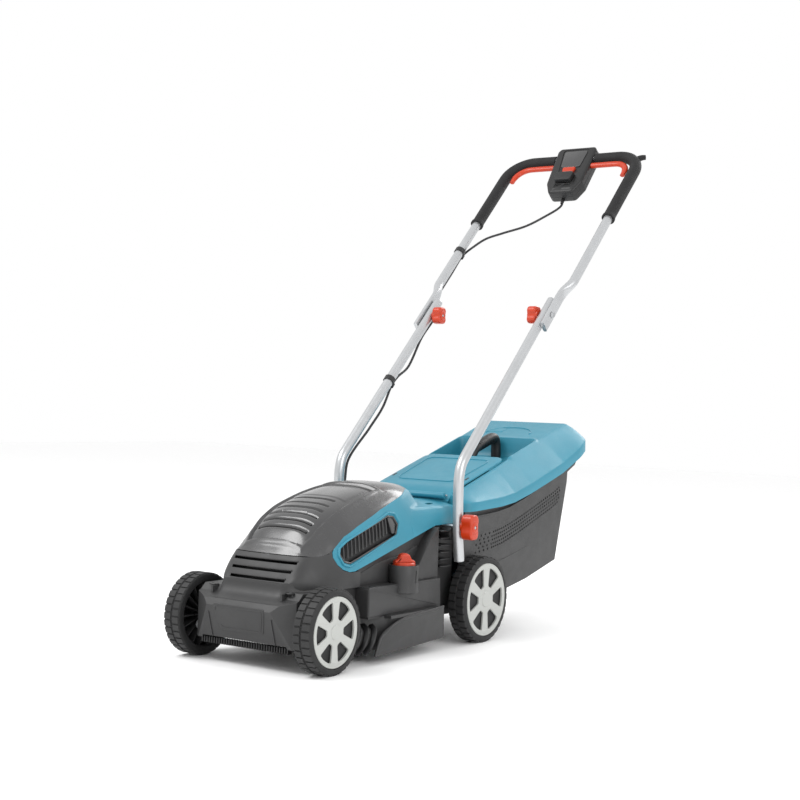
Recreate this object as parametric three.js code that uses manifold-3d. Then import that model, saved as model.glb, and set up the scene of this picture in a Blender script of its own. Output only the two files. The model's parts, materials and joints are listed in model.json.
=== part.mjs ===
// A corded electric rotary lawn mower with a rear grass box and a folding tube handle, in millimetres.
// +X is the operator's left, -Y the front and +Z up. Y is laid out from the motor shaft, and the last
// lines centre the whole mower on its bounding box.
import * as THREE from "three";
import { mergeVertices } from "three/addons/utils/BufferGeometryUtils.js";
import Module from "manifold-3d";

const wasm = await Module();
wasm.setup();

// ---- Driving dimensions ----
const trackWidth = 355; // across the outer faces of the tyres
const bladeLength = 320;
const bladeWidth = 46;
const bladeThickness = 3;
const bladeHeight = 38; // the cutting plane above the ground at the lowest setting
const tipClearance = 4; // blade tip to chamber wall
const housingWall = 4;
const shellWall = 2.8; // the moulded covers
const frontWheelRadius = 80;
const rearWheelRadius = 91;
const tyreWidth = 40.5;
const wheelGap = 10; // blade housing to front tyre
const rearWheelGap = 12; // blade housing to rear tyre
const crankReach = 36; // axle to the pivot that raises it
const crankRestAngle = 25; // degrees above level, at the lowest setting
const axleRadius = 6;
const leverLength = 45;
const leverRestAngle = 100; // degrees, upright at 90
const linkRadius = 2.5;
const clearance = 0.4; // between parts that touch
const runningClearance = 0.5; // between a turning part and its bore
const handleAngle = 45; // degrees
const handleTubeRadius = 11;
const handleTubeWall = 1.5;
const handleFootHeight = 176;
const handleBoltReach = 463; // height of the fold bolt above the lower pivot
const upperHandleLength = 605; // fold bolt to the middle of the cross bar
const upperHandleHalfWidth = 184.5;
const handleCornerRadius = 65;
const gripRadius = 15.2;
const gripLength = 255; // along each leg
const gripFit = 1.2; // room around the tube's facets
const boltRadius = 4;
const knobHeight = 52;
const knobWidth = 33;
const knobDepth = 26;
const cableRadius = 2.8;
const boxLength = 474; // mouth to rear wall at the floor
const boxMouthHeight = 112;
const boxHalfWidthLow = 122;
const boxHalfWidthHigh = 150;
const boxWall = 2.6;
const lidOverhang = 15;
const lidWall = 3;
const consoleLength = 162;
const consoleWidth = 112;
const consoleDepth = 38;
const consoleSlope = 53.5; // degrees
const motorRadius = 52;

// ---- Sizes that follow from them ----
const chamberRadius = bladeLength / 2 + tipClearance;
const housingRadius = chamberRadius + housingWall;
const housingTop = bladeHeight + 50;
const frontAxleY = -(housingRadius + wheelGap + frontWheelRadius);
const rearAxleY = housingRadius + rearWheelGap + rearWheelRadius;
const wheelOuterX = trackWidth / 2;
const wheelInnerX = wheelOuterX - tyreWidth;
const crankInnerX = wheelInnerX - 16;
const crankOuterX = wheelInnerX - 10;
const noseHalfWidth = crankInnerX - 2;
const bodyHalfWidth = wheelInnerX - 19;
const coverHalfWidth = bodyHalfWidth + 10;
const podHalfWidth = wheelInnerX + 13;
const tunnelHalfWidth = bodyHalfWidth - 28;
const tubeX = wheelInnerX + 18; // lower handle legs
const pivotY = rearAxleY - 89;
const pivotZ = handleFootHeight + 73;
const boltY = pivotY + handleBoltReach - 125;
const boltZ = pivotZ + handleBoltReach;
const mouthY = rearAxleY - 49; // the rear end of the deck

// ---- Solid helpers ----
function solid(geometry) {
  const bare = geometry.clone();
  bare.deleteAttribute("normal");
  bare.deleteAttribute("uv");
  const merged = mergeVertices(bare, 1e-3);
  return new wasm.Manifold(
    new wasm.Mesh({
      numProp: 3,
      vertProperties: merged.attributes.position.array,
      triVerts: new Uint32Array(merged.index.array),
    }),
  );
}

function geometryOf(manifold) {
  const mesh = manifold.getMesh();
  const positions = new Float32Array(mesh.numVert * 3);
  for (let i = 0; i < mesh.numVert; i++) {
    positions.set(mesh.vertProperties.subarray(i * mesh.numProp, i * mesh.numProp + 3), i * 3);
  }
  const geometry = new THREE.BufferGeometry();
  geometry.setAttribute("position", new THREE.BufferAttribute(positions, 3));
  geometry.setIndex(new THREE.BufferAttribute(mesh.triVerts, 1));
  geometry.computeVertexNormals();
  return geometry;
}

const join = (...shapes) => shapes.reduce((whole, shape) => whole.add(shape));
const cut = (shape, ...tools) => tools.reduce((rest, tool) => rest.subtract(tool), shape);

function box(x0, x1, y0, y1, z0, z1) {
  const geometry = new THREE.BoxGeometry(x1 - x0, y1 - y0, z1 - z0);
  return solid(geometry.translate((x0 + x1) / 2, (y0 + y1) / 2, (z0 + z1) / 2));
}

// A round bar or disc between two points, or a cone where the radii differ.
function rod(from, to, radius, sides = 20, endRadius = radius) {
  const start = new THREE.Vector3(...from);
  const axis = new THREE.Vector3(...to).sub(start);
  const geometry = new THREE.CylinderGeometry(endRadius, radius, axis.length(), sides);
  geometry.translate(0, axis.length() / 2, 0);
  const turn = new THREE.Quaternion();
  turn.setFromUnitVectors(new THREE.Vector3(0, 1, 0), axis.clone().normalize());
  return solid(geometry.applyQuaternion(turn).translate(...from));
}

const outline = (points) => new THREE.Shape(points.map(([a, b]) => new THREE.Vector2(a, b)));

// A (y, z) outline drawn out along X.
function sideProfile(points, x0, x1) {
  const shape = points instanceof THREE.Shape ? points : outline(points);
  const geometry = new THREE.ExtrudeGeometry(shape, { depth: x1 - x0, bevelEnabled: false,
    curveSegments: 4 });
  const axes = new THREE.Matrix4().makeBasis(
    new THREE.Vector3(0, 1, 0), new THREE.Vector3(0, 0, 1), new THREE.Vector3(1, 0, 0),
  );
  return solid(geometry.applyMatrix4(axes).translate(x0, 0, 0));
}

// An (x, y) outline drawn up along Z.
function planProfile(points, z0, z1) {
  const shape = points instanceof THREE.Shape ? points : outline(points);
  const geometry = new THREE.ExtrudeGeometry(shape, { depth: z1 - z0, bevelEnabled: false,
    curveSegments: 4 });
  return solid(geometry.translate(0, 0, z0));
}

function roundedRectangle(x0, x1, y0, y1, radius) {
  const shape = new THREE.Shape();
  shape.moveTo(x0 + radius, y0);
  shape.lineTo(x1 - radius, y0);
  shape.absarc(x1 - radius, y0 + radius, radius, -Math.PI / 2, 0, false);
  shape.lineTo(x1, y1 - radius);
  shape.absarc(x1 - radius, y1 - radius, radius, 0, Math.PI / 2, false);
  shape.lineTo(x0 + radius, y1);
  shape.absarc(x0 + radius, y1 - radius, radius, Math.PI / 2, Math.PI, false);
  shape.lineTo(x0, y0 + radius);
  shape.absarc(x0 + radius, y0 + radius, radius, Math.PI, Math.PI * 1.5, false);
  return shape;
}

// A closed skin through rings of equal point count, with a fan over each end.
function loft(rings) {
  const count = rings[0].length;
  const points = rings.flat();
  const faces = [];
  for (let i = 0; i + 1 < rings.length; i++) {
    for (let j = 0; j < count; j++) {
      const a = i * count + j;
      const b = i * count + ((j + 1) % count);
      faces.push(a, b, b + count, a, b + count, a + count);
    }
  }
  for (const [ring, flip] of [[0, true], [rings.length - 1, false]]) {
    const middle = rings[ring].reduce((sum, p) => sum.add(p), new THREE.Vector3()).divideScalar(count);
    points.push(middle);
    for (let j = 0; j < count; j++) {
      const a = ring * count + j;
      const b = ring * count + ((j + 1) % count);
      faces.push(...(flip ? [b, a, points.length - 1] : [a, b, points.length - 1]));
    }
  }
  const geometry = new THREE.BufferGeometry().setFromPoints(points);
  geometry.setIndex(faces);
  return solid(geometry);
}

// A bent path whose steps fall where they are listed, so that tubes nested on it share their facets.
class BentPath extends THREE.Curve {
  constructor(points, tangents) {
    super();
    this.points = points;
    this.tangents = tangents ?? points.map((p, i) => {
      const next = points[Math.min(i + 1, points.length - 1)];
      return next.clone().sub(points[Math.max(i - 1, 0)]).normalize();
    });
  }
  getPoint(t) {
    return this.points[Math.round(t * (this.points.length - 1))].clone();
  }
  getSpacedPoints() {
    return this.points;
  }
  getTangentAt(t) {
    return this.tangents[Math.round(t * (this.points.length - 1))].clone();
  }
  section(from, to) {
    return new BentPath(this.points.slice(from, to), this.tangents.slice(from, to));
  }
}

function ring(radius, sides) {
  const shape = new THREE.Shape();
  for (let i = 0; i < sides; i++) {
    const angle = (2 * Math.PI * i) / sides;
    const x = radius * Math.cos(angle);
    const y = radius * Math.sin(angle);
    if (i === 0) shape.moveTo(x, y);
    else shape.lineTo(x, y);
  }
  return shape;
}

function tube(path, radius, sides = 10) {
  const options = { steps: path.points.length - 1, bevelEnabled: false, extrudePath: path };
  return solid(new THREE.ExtrudeGeometry(ring(radius, sides), options));
}

const degrees = THREE.MathUtils.degToRad;
const point = (x, y, z) => new THREE.Vector3(x, y, z);

// The value on a line of [at, value] points.
function along(line, at) {
  const next = Math.max(1, line.findIndex(([key]) => key >= at));
  const [[a, va], [b, vb]] = at > line[line.length - 1][0] ? line.slice(-2) : [line[next - 1], line[next]];
  return va + ((vb - va) * (at - a)) / (b - a);
}

// ---- Materials ----
const material = (colour, roughness, metalness = 0) =>
  new THREE.MeshStandardMaterial({ color: colour, roughness, metalness });
const looks = {
  darkGrey: () => material(0x4a4a4c, 0.55),
  hoodGrey: () => material(0x5c5c5e, 0.3),
  black: () => material(0x1c1c1e, 0.6),
  rubber: () => material(0x262626, 0.85),
  turquoise: () => material(0x3fa5bd, 0.45),
  orange: () => material(0xd4491c, 0.4),
  capGrey: () => material(0xc9ccc7, 0.5),
  silver: () => material(0xc4c8ca, 0.35, 0.9),
  steel: () => material(0x9a9da0, 0.4, 0.9),
};

const mower = new THREE.Group();

function group(name, x, y, z, parent = mower) {
  const made = new THREE.Group();
  made.name = name + "_frame";
  made.position.set(x, y, z);
  parent.add(made);
  return made;
}

// Adds one named piece. Its shape is in the mower's own frame unless the group has a place of its own.
function add(name, shape, look, parent = mower) {
  const mesh = new THREE.Mesh(geometryOf(shape), looks[look]());
  mesh.name = name;
  parent.add(mesh);
  return mesh;
}

const sides = [["left", 1], ["right", -1]];

// ---- Where the axles pivot ----
const crankY = crankReach * Math.cos(degrees(crankRestAngle));
const crankZ = crankReach * Math.sin(degrees(crankRestAngle));
const axles = [
  { name: "front", y: frontAxleY, z: frontWheelRadius, radius: frontWheelRadius },
  { name: "rear", y: rearAxleY, z: rearWheelRadius, radius: rearWheelRadius },
];
for (const axle of axles) {
  axle.pivotY = axle.y - crankY;
  axle.pivotZ = axle.z - crankZ;
  axle.leverY = axle.pivotY + leverLength * Math.cos(degrees(leverRestAngle));
  axle.leverZ = axle.pivotZ + leverLength * Math.sin(degrees(leverRestAngle));
}
const [frontAxle, rearAxle] = axles;
const leverX = tunnelHalfWidth + 1.5;
const leverThickness = 3;
const linkX = leverX + leverThickness + linkRadius + 1.5;

// ---- Body form: the hood, cowl and cover are cut from one crowned skin ----
const leverHeadroom = 36.9; // front lever pin to the covers' base
const bodyBase = frontAxle.leverZ + leverHeadroom;
const coverRise = Math.tan(degrees(15));
const coverFrontY = -144;
const seatLevel = 252; // the cover's lower edge beside the handle
const coverEdge = (y) => Math.min(seatLevel, 175 + (y - coverFrontY) * coverRise);
const hoodRearY = 116;
const coverRearY = mouthY - 8;

// Each station: y, crown height, hood edge x and z, side x.
const hoodStations = [
  [-286, 149, 58, 148, 66],
  [-249, 206, 80, 196, 103],
  [-231, 229, 88, 209, 113],
  [-205, 262, 104, 216, 120],
  [-170, 290, 110, 240, 127],
  [-130, 306, 110, 265, 132],
  [-71, 323, 110, 286, 136],
  [60, 338, 94, 322, 138],
  [hoodRearY, 334, 72, 325, 138],
];

// Half of a section from the crown down to the base, thinned by inset.
function halfSection([, crown, edgeX, edgeZ, sideX], y, inset) {
  const half = [];
  for (const share of [0, 0.6, 0.86, 1]) {
    const drop = (crown - edgeZ) * share ** 4;
    half.push([(edgeX - inset) * share, crown - drop - inset * (1 - share * 0.6)]);
  }
  const side = sideX * (coverHalfWidth / 138) - inset;
  half.push([side, Math.min(coverEdge(Math.max(y, -200)), edgeZ - 1)]);
  half.push([side, bodyBase - (inset ? 6 : 0)]);
  return half;
}

function bodyForm(stations, inset) {
  return loft(stations.map((station, i) => {
    const end = i === 0 ? inset : i === stations.length - 1 ? -inset : 0;
    const half = halfSection(station, station[0], inset);
    const right = half.map(([x, z]) => point(x, station[0] + end, z));
    const left = half.slice(1).reverse().map(([x, z]) => point(-x, station[0] + end, z));
    return [...right, ...left];
  }));
}

const rearStations = [
  [60, 299, 100, 284, 138],
  [120, 300, 108, 282, 138],
  [170, 297, 116, 280, 138],
  [coverRearY, 296, 120, 280, 138],
];
const hoodSkin = cut(bodyForm(hoodStations, 0), bodyForm(hoodStations, shellWall));
const coverForm = join(bodyForm(hoodStations, 0), bodyForm(rearStations, 0));
const coverSkin = cut(coverForm, bodyForm(hoodStations, shellWall), bodyForm(rearStations, shellWall));
const hoodInsert = cut(bodyForm(hoodStations, 1.2), bodyForm(hoodStations, shellWall + 1.4));

const far = 400;
const hoodSeam = [[-330, 208], [-231, 208], [-196, 216], [-151, 256], [-71, 286], [18, 312], [71, 324]];
const hoodRegion = [...hoodSeam, [hoodRearY + 1, 327], [hoodRearY + 1, far], [-330, far]];
const lowered = (line, by) => line.map(([y, z]) => [y, z - by]);

// The cover's side outline: a rounded front end, the hood's edge above and the sloping lower edge.
function coverOutline(gap) {
  const shape = new THREE.Shape();
  shape.moveTo(coverFrontY + 8, coverEdge(coverFrontY + 8) + gap);
  shape.lineTo(139, coverEdge(139) + gap);
  shape.lineTo(coverRearY + 2, seatLevel + gap);
  shape.lineTo(coverRearY + 2, far);
  shape.lineTo(hoodRearY + 1.2, far);
  shape.lineTo(hoodRearY + 1.2, 327 - gap);
  for (const [y, z] of [...hoodSeam].reverse().slice(0, 4)) shape.lineTo(y, z - gap);
  shape.lineTo(-168, 239 - gap);
  shape.quadraticCurveTo(-187, 222, -189 + gap, 206);
  shape.quadraticCurveTo(-186, 176, coverFrontY + 8, coverEdge(coverFrontY + 8) + gap);
  return shape;
}
const ventCorners = [[-150, 231], [-144, 240], [-13, 283], [8, 279], [14, 262], [0, 240], [-134, 203],
  [-146, 208]];
const scaled = (corners, share) => {
  const middle = [0, 1].map((i) => corners.reduce((sum, p) => sum + p[i], 0) / corners.length);
  return corners.map((p) => p.map((value, i) => middle[i] + (value - middle[i]) * share));
};
const windowOuter = (gap) => roundedRectangle(-74 + gap, 74 - gap, -224 + gap, 4 - gap, 22 - gap);

const hoodWindow = planProfile(windowOuter(0), 150, far);
add("hood_top", cut(hoodSkin.intersect(sideProfile(hoodRegion, -200, 200)), hoodWindow), "hoodGrey");

const slatSlots = [-206, -188, -164, -134, -98, -60].map((y) =>
  box(-52, 52 - Math.max(0, (y + 132) / 3), y, y + 6, 150, far),
);
const grilleFrame = cut(hoodInsert.intersect(planProfile(windowOuter(clearance), 150, far)), ...slatSlots);
add("hood_grille", grilleFrame, "hoodGrey");

const cowlRegion = [[-330, bodyBase - 1], ...lowered(hoodSeam, clearance), [hoodRearY, 327 - clearance],
  [hoodRearY, bodyBase - 1]];
const coverPrism = sideProfile(coverOutline(clearance), -200, 200);
const coverPrismGap = sideProfile(coverOutline(0), -200, 200);
const behindCowl = sideProfile([[-120, bodyBase - 9], [-120, far], [300, far], [300, bodyBase - 9]],
  -200, 200);
const cowlSlots = [168, 186, 205].map((z) => box(-70, 70, -330, -225, z - 2, z + 2));
add("front_cowl", cut(hoodSkin.intersect(sideProfile(cowlRegion, -200, 200)), coverPrismGap, behindCowl,
  ...cowlSlots), "darkGrey");

const vents = sides.map(([, s]) => sideProfile(ventCorners, s > 0 ? 60 : -200, s > 0 ? 200 : -60));
const keyholes = sides.map(([, s]) => box(s * 96 - 5, s * 96 + 5, 148, 172, 270, 310));
const glandX = -(coverHalfWidth - 26);
const cableHole = rod([glandX, pivotY + 14, 250], [glandX, pivotY + 14, 320], cableRadius + 3.4, 12);
add("body_cover", cut(coverSkin.intersect(coverPrism), ...vents, ...keyholes, cableHole,
  box(-60, 60, -300, 40, bodyBase, far),
  rod([-200, pivotY, pivotZ], [200, pivotY, pivotZ], boltRadius + 1, 12)), "turquoise");

sides.forEach(([side, s]) => {
  const plate = hoodInsert.intersect(
    sideProfile(scaled(ventCorners, 0.975), s > 0 ? 60 : -200, s > 0 ? 200 : -60));
  const slats = [];
  for (let i = 0; i < 9; i++) {
    const y = -134 + i * 15.2;
    const z = 222 + (y + 134) * 0.3;
    slats.push(sideProfile([[y, z - 11], [y + 5, z - 10], [y + 5, z + 14], [y, z + 12]],
      s > 0 ? 60 : -200, s > 0 ? 200 : -60));
  }
  add("side_vent_" + side, cut(plate, ...slats), "black");
});

// ---- Deck: nose, blade housing, side pods, discharge tunnel and bearing ribs, all one moulding ----
const deckFloor = housingTop + 1;
const noseFrontY = frontAxle.pivotY - 36;
const trayFrontY = -205;
const noseProfile = [
  [noseFrontY + 21, 45], [noseFrontY, bodyBase - 34], [noseFrontY + 8, bodyBase - 22],
  [noseFrontY + 30, bodyBase - 12],
  [noseFrontY + 42, bodyBase - clearance], [trayFrontY + 3.5, bodyBase - clearance],
  [trayFrontY + 3.5, housingTop], [-118, housingTop], [-118, 60], [-172, 45],
];
const noseInside = [
  [noseFrontY + 24.5, 30], [noseFrontY + 3.7, bodyBase - 34], [noseFrontY + 10.5, bodyBase - 25.5],
  [noseFrontY + 32, bodyBase - 15.5],
  [noseFrontY + 44, bodyBase - 4], [trayFrontY - 3, bodyBase - 4],
  [trayFrontY - 3, housingTop - 4], [-122, housingTop - 4], [-122, 30],
];
const noseOutline = [
  [-noseHalfWidth, -118], [-noseHalfWidth, noseFrontY + 24], [-noseHalfWidth + 44, noseFrontY - 1],
  [noseHalfWidth - 44, noseFrontY - 1], [noseHalfWidth, noseFrontY + 24], [noseHalfWidth, -118],
];
const nose = cut(
  sideProfile(noseProfile, -noseHalfWidth, noseHalfWidth).intersect(planProfile(noseOutline, 0, 200)),
  sideProfile(noseInside, -noseHalfWidth + 3.5, noseHalfWidth - 3.5)
    .intersect(planProfile(noseOutline.map(([x, y]) => [x * 0.965, y < noseFrontY ? y + 5 : y + 3]), 0,
      200)),
);
const trayTop = (y, gap) => coverEdge(y) - gap;
const trayOutline = (gap) => [
  [trayFrontY + gap, gap ? deckFloor : housingTop - 4], [mouthY - gap, gap ? deckFloor : housingTop - 4],
  [mouthY - gap, gap ? far : seatLevel - clearance], [139, gap ? far : trayTop(139, clearance)],
  [-116, gap ? far : trayTop(-116, clearance)], [-118, gap ? far : bodyBase - clearance],
  [trayFrontY + gap, gap ? far : bodyBase - clearance],
];
const tray = cut(
  sideProfile(trayOutline(0), -bodyHalfWidth, bodyHalfWidth),
  sideProfile(trayOutline(3.5), -bodyHalfWidth + 3.5, bodyHalfWidth - 3.5),
);
const housing = rod([0, 0, bladeHeight - 14], [0, 0, housingTop], housingRadius, 32);
const tunnelLow = boxMouthHeight;
const tunnelHigh = seatLevel - 17;
const tunnelOutside = [
  [90, 30], [housingRadius, 40], [mouthY, tunnelLow - 4], [mouthY, tunnelHigh + 3], [146, tunnelHigh + 3],
  [60, housingTop - 2],
];
const tunnelInside = [
  [70, bladeHeight - 20], [housingRadius - 6, bladeHeight + 6], [mouthY - 3, tunnelLow],
  [mouthY + 5, tunnelLow],
  [mouthY + 5, tunnelHigh], [149, tunnelHigh], [66, housingTop - 5],
];
const podTop = bodyBase - clearance;
const podProfile = [[-121, 86], [-121, podTop], [128, podTop], [132, 95], [132, 86]];
const podShoulder = [[-4, 144], [62, 178], [100, 222], [132, trayTop(132, clearance)], [132, 144]];
const skirtProfile = [[-119, 17], [-101, 53], [-62, 72], [-27, 81], [117, 91], [121, 27]];
const ribProfile = [[160, housingTop], [mouthY, 106], [rearAxle.pivotY + 13, 90],
  [rearAxle.pivotY + 13, 62],
  [rearAxle.pivotY - 12, 58], [150, 60]];
const heightKnobX = bodyHalfWidth + 25;
const heightKnobY = 5;
const collarTop = 180;
const deckParts = [housing];
const deckCuts = [];
for (const [, s] of sides) {
  const across = (profile, x0, x1) => sideProfile(profile, s > 0 ? x0 : -x1, s > 0 ? x1 : -x0);
  deckParts.push(across(podProfile, bodyHalfWidth - 6, podHalfWidth));
  deckParts.push(across(podShoulder, bodyHalfWidth - 3, podHalfWidth - 9));
  deckParts.push(across(skirtProfile, housingRadius - 3.5, housingRadius + 1));
  deckParts.push(box(s > 0 ? 110 : -housingRadius, s > 0 ? housingRadius : -110, -70, 119, 84, 90));
  deckParts.push(across(ribProfile, linkX + 4, linkX + 11));
  deckParts.push(box(s * 84 - 2, s * 84 + 2, noseFrontY + 22, -162, 50, bodyBase - 2));
  deckCuts.push(box(...(s > 0 ? [bodyHalfWidth - 8, podHalfWidth - 3.5] : [3.5 - podHalfWidth,
    8 - bodyHalfWidth]),
    -117.5, 128, housingTop + 1, bodyBase - 4));
  deckParts.push(rod([s * (bodyHalfWidth - 5), pivotY, pivotZ - 16],
    [s * (tubeX - handleTubeRadius - clearance),
    pivotY, pivotZ - 16], 14, 12));
  deckCuts.push(rod([s * (bodyHalfWidth - 9), pivotY, pivotZ], [s * tubeX, pivotY, pivotZ],
    boltRadius + runningClearance, 12));
}
const collar = rod([heightKnobX, heightKnobY, 140], [heightKnobX, heightKnobY, collarTop], 28.5, 16);
const collarHollow = rod([heightKnobX, heightKnobY, collarTop - 6],
  [heightKnobX, heightKnobY, collarTop + 5], 25.5, 16);
const knobBore = rod([heightKnobX, heightKnobY, 120], [heightKnobX, heightKnobY, 200],
  7 + runningClearance + 0.3, 10);
const pivotBores = axles.map((axle) =>
  rod([-wheelInnerX, axle.pivotY, axle.pivotZ], [wheelInnerX, axle.pivotY, axle.pivotZ],
    axleRadius + runningClearance + 0.3, 12));
const linkSlots = [
  box(leverX - 2, linkX + 6, -215, -195, deckFloor, frontAxle.leverZ + 8),
  box(leverX - 1, linkX + 4, mouthY - 14, mouthY + 1, deckFloor, rearAxle.leverZ + 12),
];
const tunnel = sideProfile(tunnelOutside, -tunnelHalfWidth, tunnelHalfWidth);
const chamber = rod([0, 0, -5], [0, 0, housingTop - 4], chamberRadius, 32);
const deckSolid = cut(
  join(nose, tray, ...deckParts, tunnel, collar),
  chamber,
  sideProfile(tunnelInside, -tunnelHalfWidth + 4, tunnelHalfWidth - 4),
  rod([0, 0, 70], [0, 0, deckFloor + 2], 12, 16),
  collarHollow, knobBore, ...pivotBores, ...linkSlots, ...deckCuts,
);
add("deck_shell", deckSolid, "darkGrey");

// ---- Motor, shaft and blade ----
add("motor_can", join(
  rod([0, 0, deckFloor + clearance], [0, 0, 196], motorRadius, 20),
  rod([0, 0, 196], [0, 0, 208], motorRadius - 16, 16),
), "steel");
const blade = group("blade", 0, 0, bladeHeight);
const bladeBar = outline([
  [-bladeLength / 2, -bladeWidth / 2], [bladeLength / 2 - 14, -bladeWidth / 2],
  [bladeLength / 2, -bladeWidth / 2 + 12],
  [bladeLength / 2, bladeWidth / 2], [-bladeLength / 2 + 14, bladeWidth / 2],
  [-bladeLength / 2, bladeWidth / 2 - 12],
]);
const wings = [1, -1].map((s) => box(...(s > 0 ? [105, 150] : [-150, -105]),
  ...(s > 0 ? [bladeWidth / 2 - 5, bladeWidth / 2 - 1] : [1 - bladeWidth / 2, 5 - bladeWidth / 2]), 0, 14));
const tipRound = rod([0, 0, -10], [0, 0, 20], bladeLength / 2, 48);
add("blade", cut(join(planProfile(bladeBar, -bladeThickness / 2, bladeThickness / 2),
  ...wings).intersect(tipRound),
  rod([0, 0, -5], [0, 0, 5], 6, 16)), "steel", blade);
add("blade_bolt", join(
  rod([0, 0, -bladeThickness / 2 - clearance], [0, 0, -bladeThickness / 2 - 8], 10, 6),
  rod([0, 0, -bladeThickness / 2 - 2], [0, 0, 8], 5.4, 14),
), "steel", blade);
add("blade_hub", cut(rod([0, 0, bladeThickness / 2 + clearance], [0, 0, 20], 21, 20, 16),
  rod([0, 0, -5], [0, 0, 30], 6.4, 16)), "black", blade);
const fanBlades = [];
for (let i = 0; i < 6; i++) {
  const vane = new THREE.BoxGeometry(44, 2.4, 14).translate(38, 0, 29.5).rotateZ((i * Math.PI) / 3);
  fanBlades.push(solid(vane));
}
add("cooling_fan", cut(join(rod([0, 0, 20.4], [0, 0, 23.4], 60, 20),
  rod([0, 0, 20.4], [0, 0, 36.5], 19, 20),
  ...fanBlades), rod([0, 0, 15], [0, 0, 40], 8.4, 16)), "black", blade);
add("motor_shaft", rod([0, 0, 8.5], [0, 0, deckFloor - bladeHeight - 0.5], 5.9, 16)
  .add(rod([0, 0, 20.4], [0, 0, deckFloor - bladeHeight - 0.5], 7.9, 16)), "steel", blade);

// ---- Height adjustment: two cranked axles, their clamps and the link between them ----
for (const axle of axles) {
  const frame = group(axle.name + "_crank", 0, axle.pivotY, axle.pivotZ);
  const bar = rod([-crankOuterX, 0, 0], [crankOuterX, 0, 0], axleRadius, 12);
  const pieces = [bar];
  for (const [, s] of sides) {
    const x0 = s > 0 ? crankInnerX : -crankOuterX;
    const x1 = s > 0 ? crankOuterX : -crankInnerX;
    const plate = box(x0, x1, 0, crankReach, -8, 8);
    const turned = join(plate, rod([x0, 0, 0], [x1, 0, 0], 9, 12),
      rod([x0, crankReach, 0], [x1, crankReach, 0], 9, 12))
      .rotate([crankRestAngle, 0, 0]);
    pieces.push(turned);
    pieces.push(rod([s * crankInnerX, crankY, crankZ], [s * (wheelOuterX - 9), crankY, crankZ],
      axleRadius, 12));
  }
  const leverTipY = leverLength * Math.cos(degrees(leverRestAngle));
  const leverTipZ = leverLength * Math.sin(degrees(leverRestAngle));
  const lever = join(box(leverX, leverX + leverThickness, 0, leverLength + 4, -4, 4),
    rod([leverX, 0, 0], [leverX + leverThickness, 0, 0], 9, 12)).rotate([leverRestAngle, 0, 0]);
  pieces.push(lever, rod([leverX, leverTipY, leverTipZ], [linkX + 3, leverTipY, leverTipZ], 2, 10));
  add(axle.name + "_axle", join(...pieces), "steel", frame);

  for (const [side, s] of sides) {
    const x0 = s > 0 ? 72 : -81.6;
    const y0 = axle.name === "rear" ? mouthY + clearance - axle.pivotY : -12;
    const blockX = axle.name === "rear" ? (s > 0 ? [60, 76] : [-76, -60]) : [x0, x0 + 9.6];
    const block = cut(box(...blockX, y0, 12, -12, 12),
      rod([-wheelInnerX, 0, 0], [wheelInnerX, 0, 0], axleRadius + runningClearance, 16));
    const clamp = add(axle.name + "_axle_clamp_" + side, block, "black");
    clamp.position.set(0, axle.pivotY, axle.pivotZ);
  }
}
const linkFrame = group("link", linkX, frontAxle.leverY, frontAxle.leverZ);
const linkReach = rearAxle.leverY - frontAxle.leverY;
const linkRise = rearAxle.leverZ - frontAxle.leverZ;
add("link_rod", cut(
  join(
    rod([0, 4, (4 * linkRise) / linkReach], [0, linkReach - 4, linkRise * (1 - 4 / linkReach)],
      linkRadius, 8),
    rod([-2, 0, 0], [2, 0, 0], 5, 10),
    rod([-2, linkReach, linkRise], [2, linkReach, linkRise], 5, 10),
  ),
  rod([-3, 0, 0], [3, 0, 0], 2.7, 8),
  rod([-3, linkReach, linkRise], [3, linkReach, linkRise], 2.7, 8),
), "steel", linkFrame);

const heightFrame = group("height_knob", heightKnobX, heightKnobY, collarTop);
const heartOutline = new THREE.Shape();
heartOutline.moveTo(-23, -9);
heartOutline.quadraticCurveTo(-26, 4, -14, 6);
heartOutline.quadraticCurveTo(-8, 14, 0, 14);
heartOutline.quadraticCurveTo(8, 14, 14, 6);
heartOutline.quadraticCurveTo(26, 4, 23, -9);
heartOutline.quadraticCurveTo(0, -15, -23, -9);
add("height_knob", join(
  rod([0, 0, -30], [0, 0, 2], 7, 12),
  rod([0, 0, -5.5], [0, 0, 2], 23.5, 16),
  planProfile(heartOutline, 1, 24),
), "orange", heightFrame);

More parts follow.
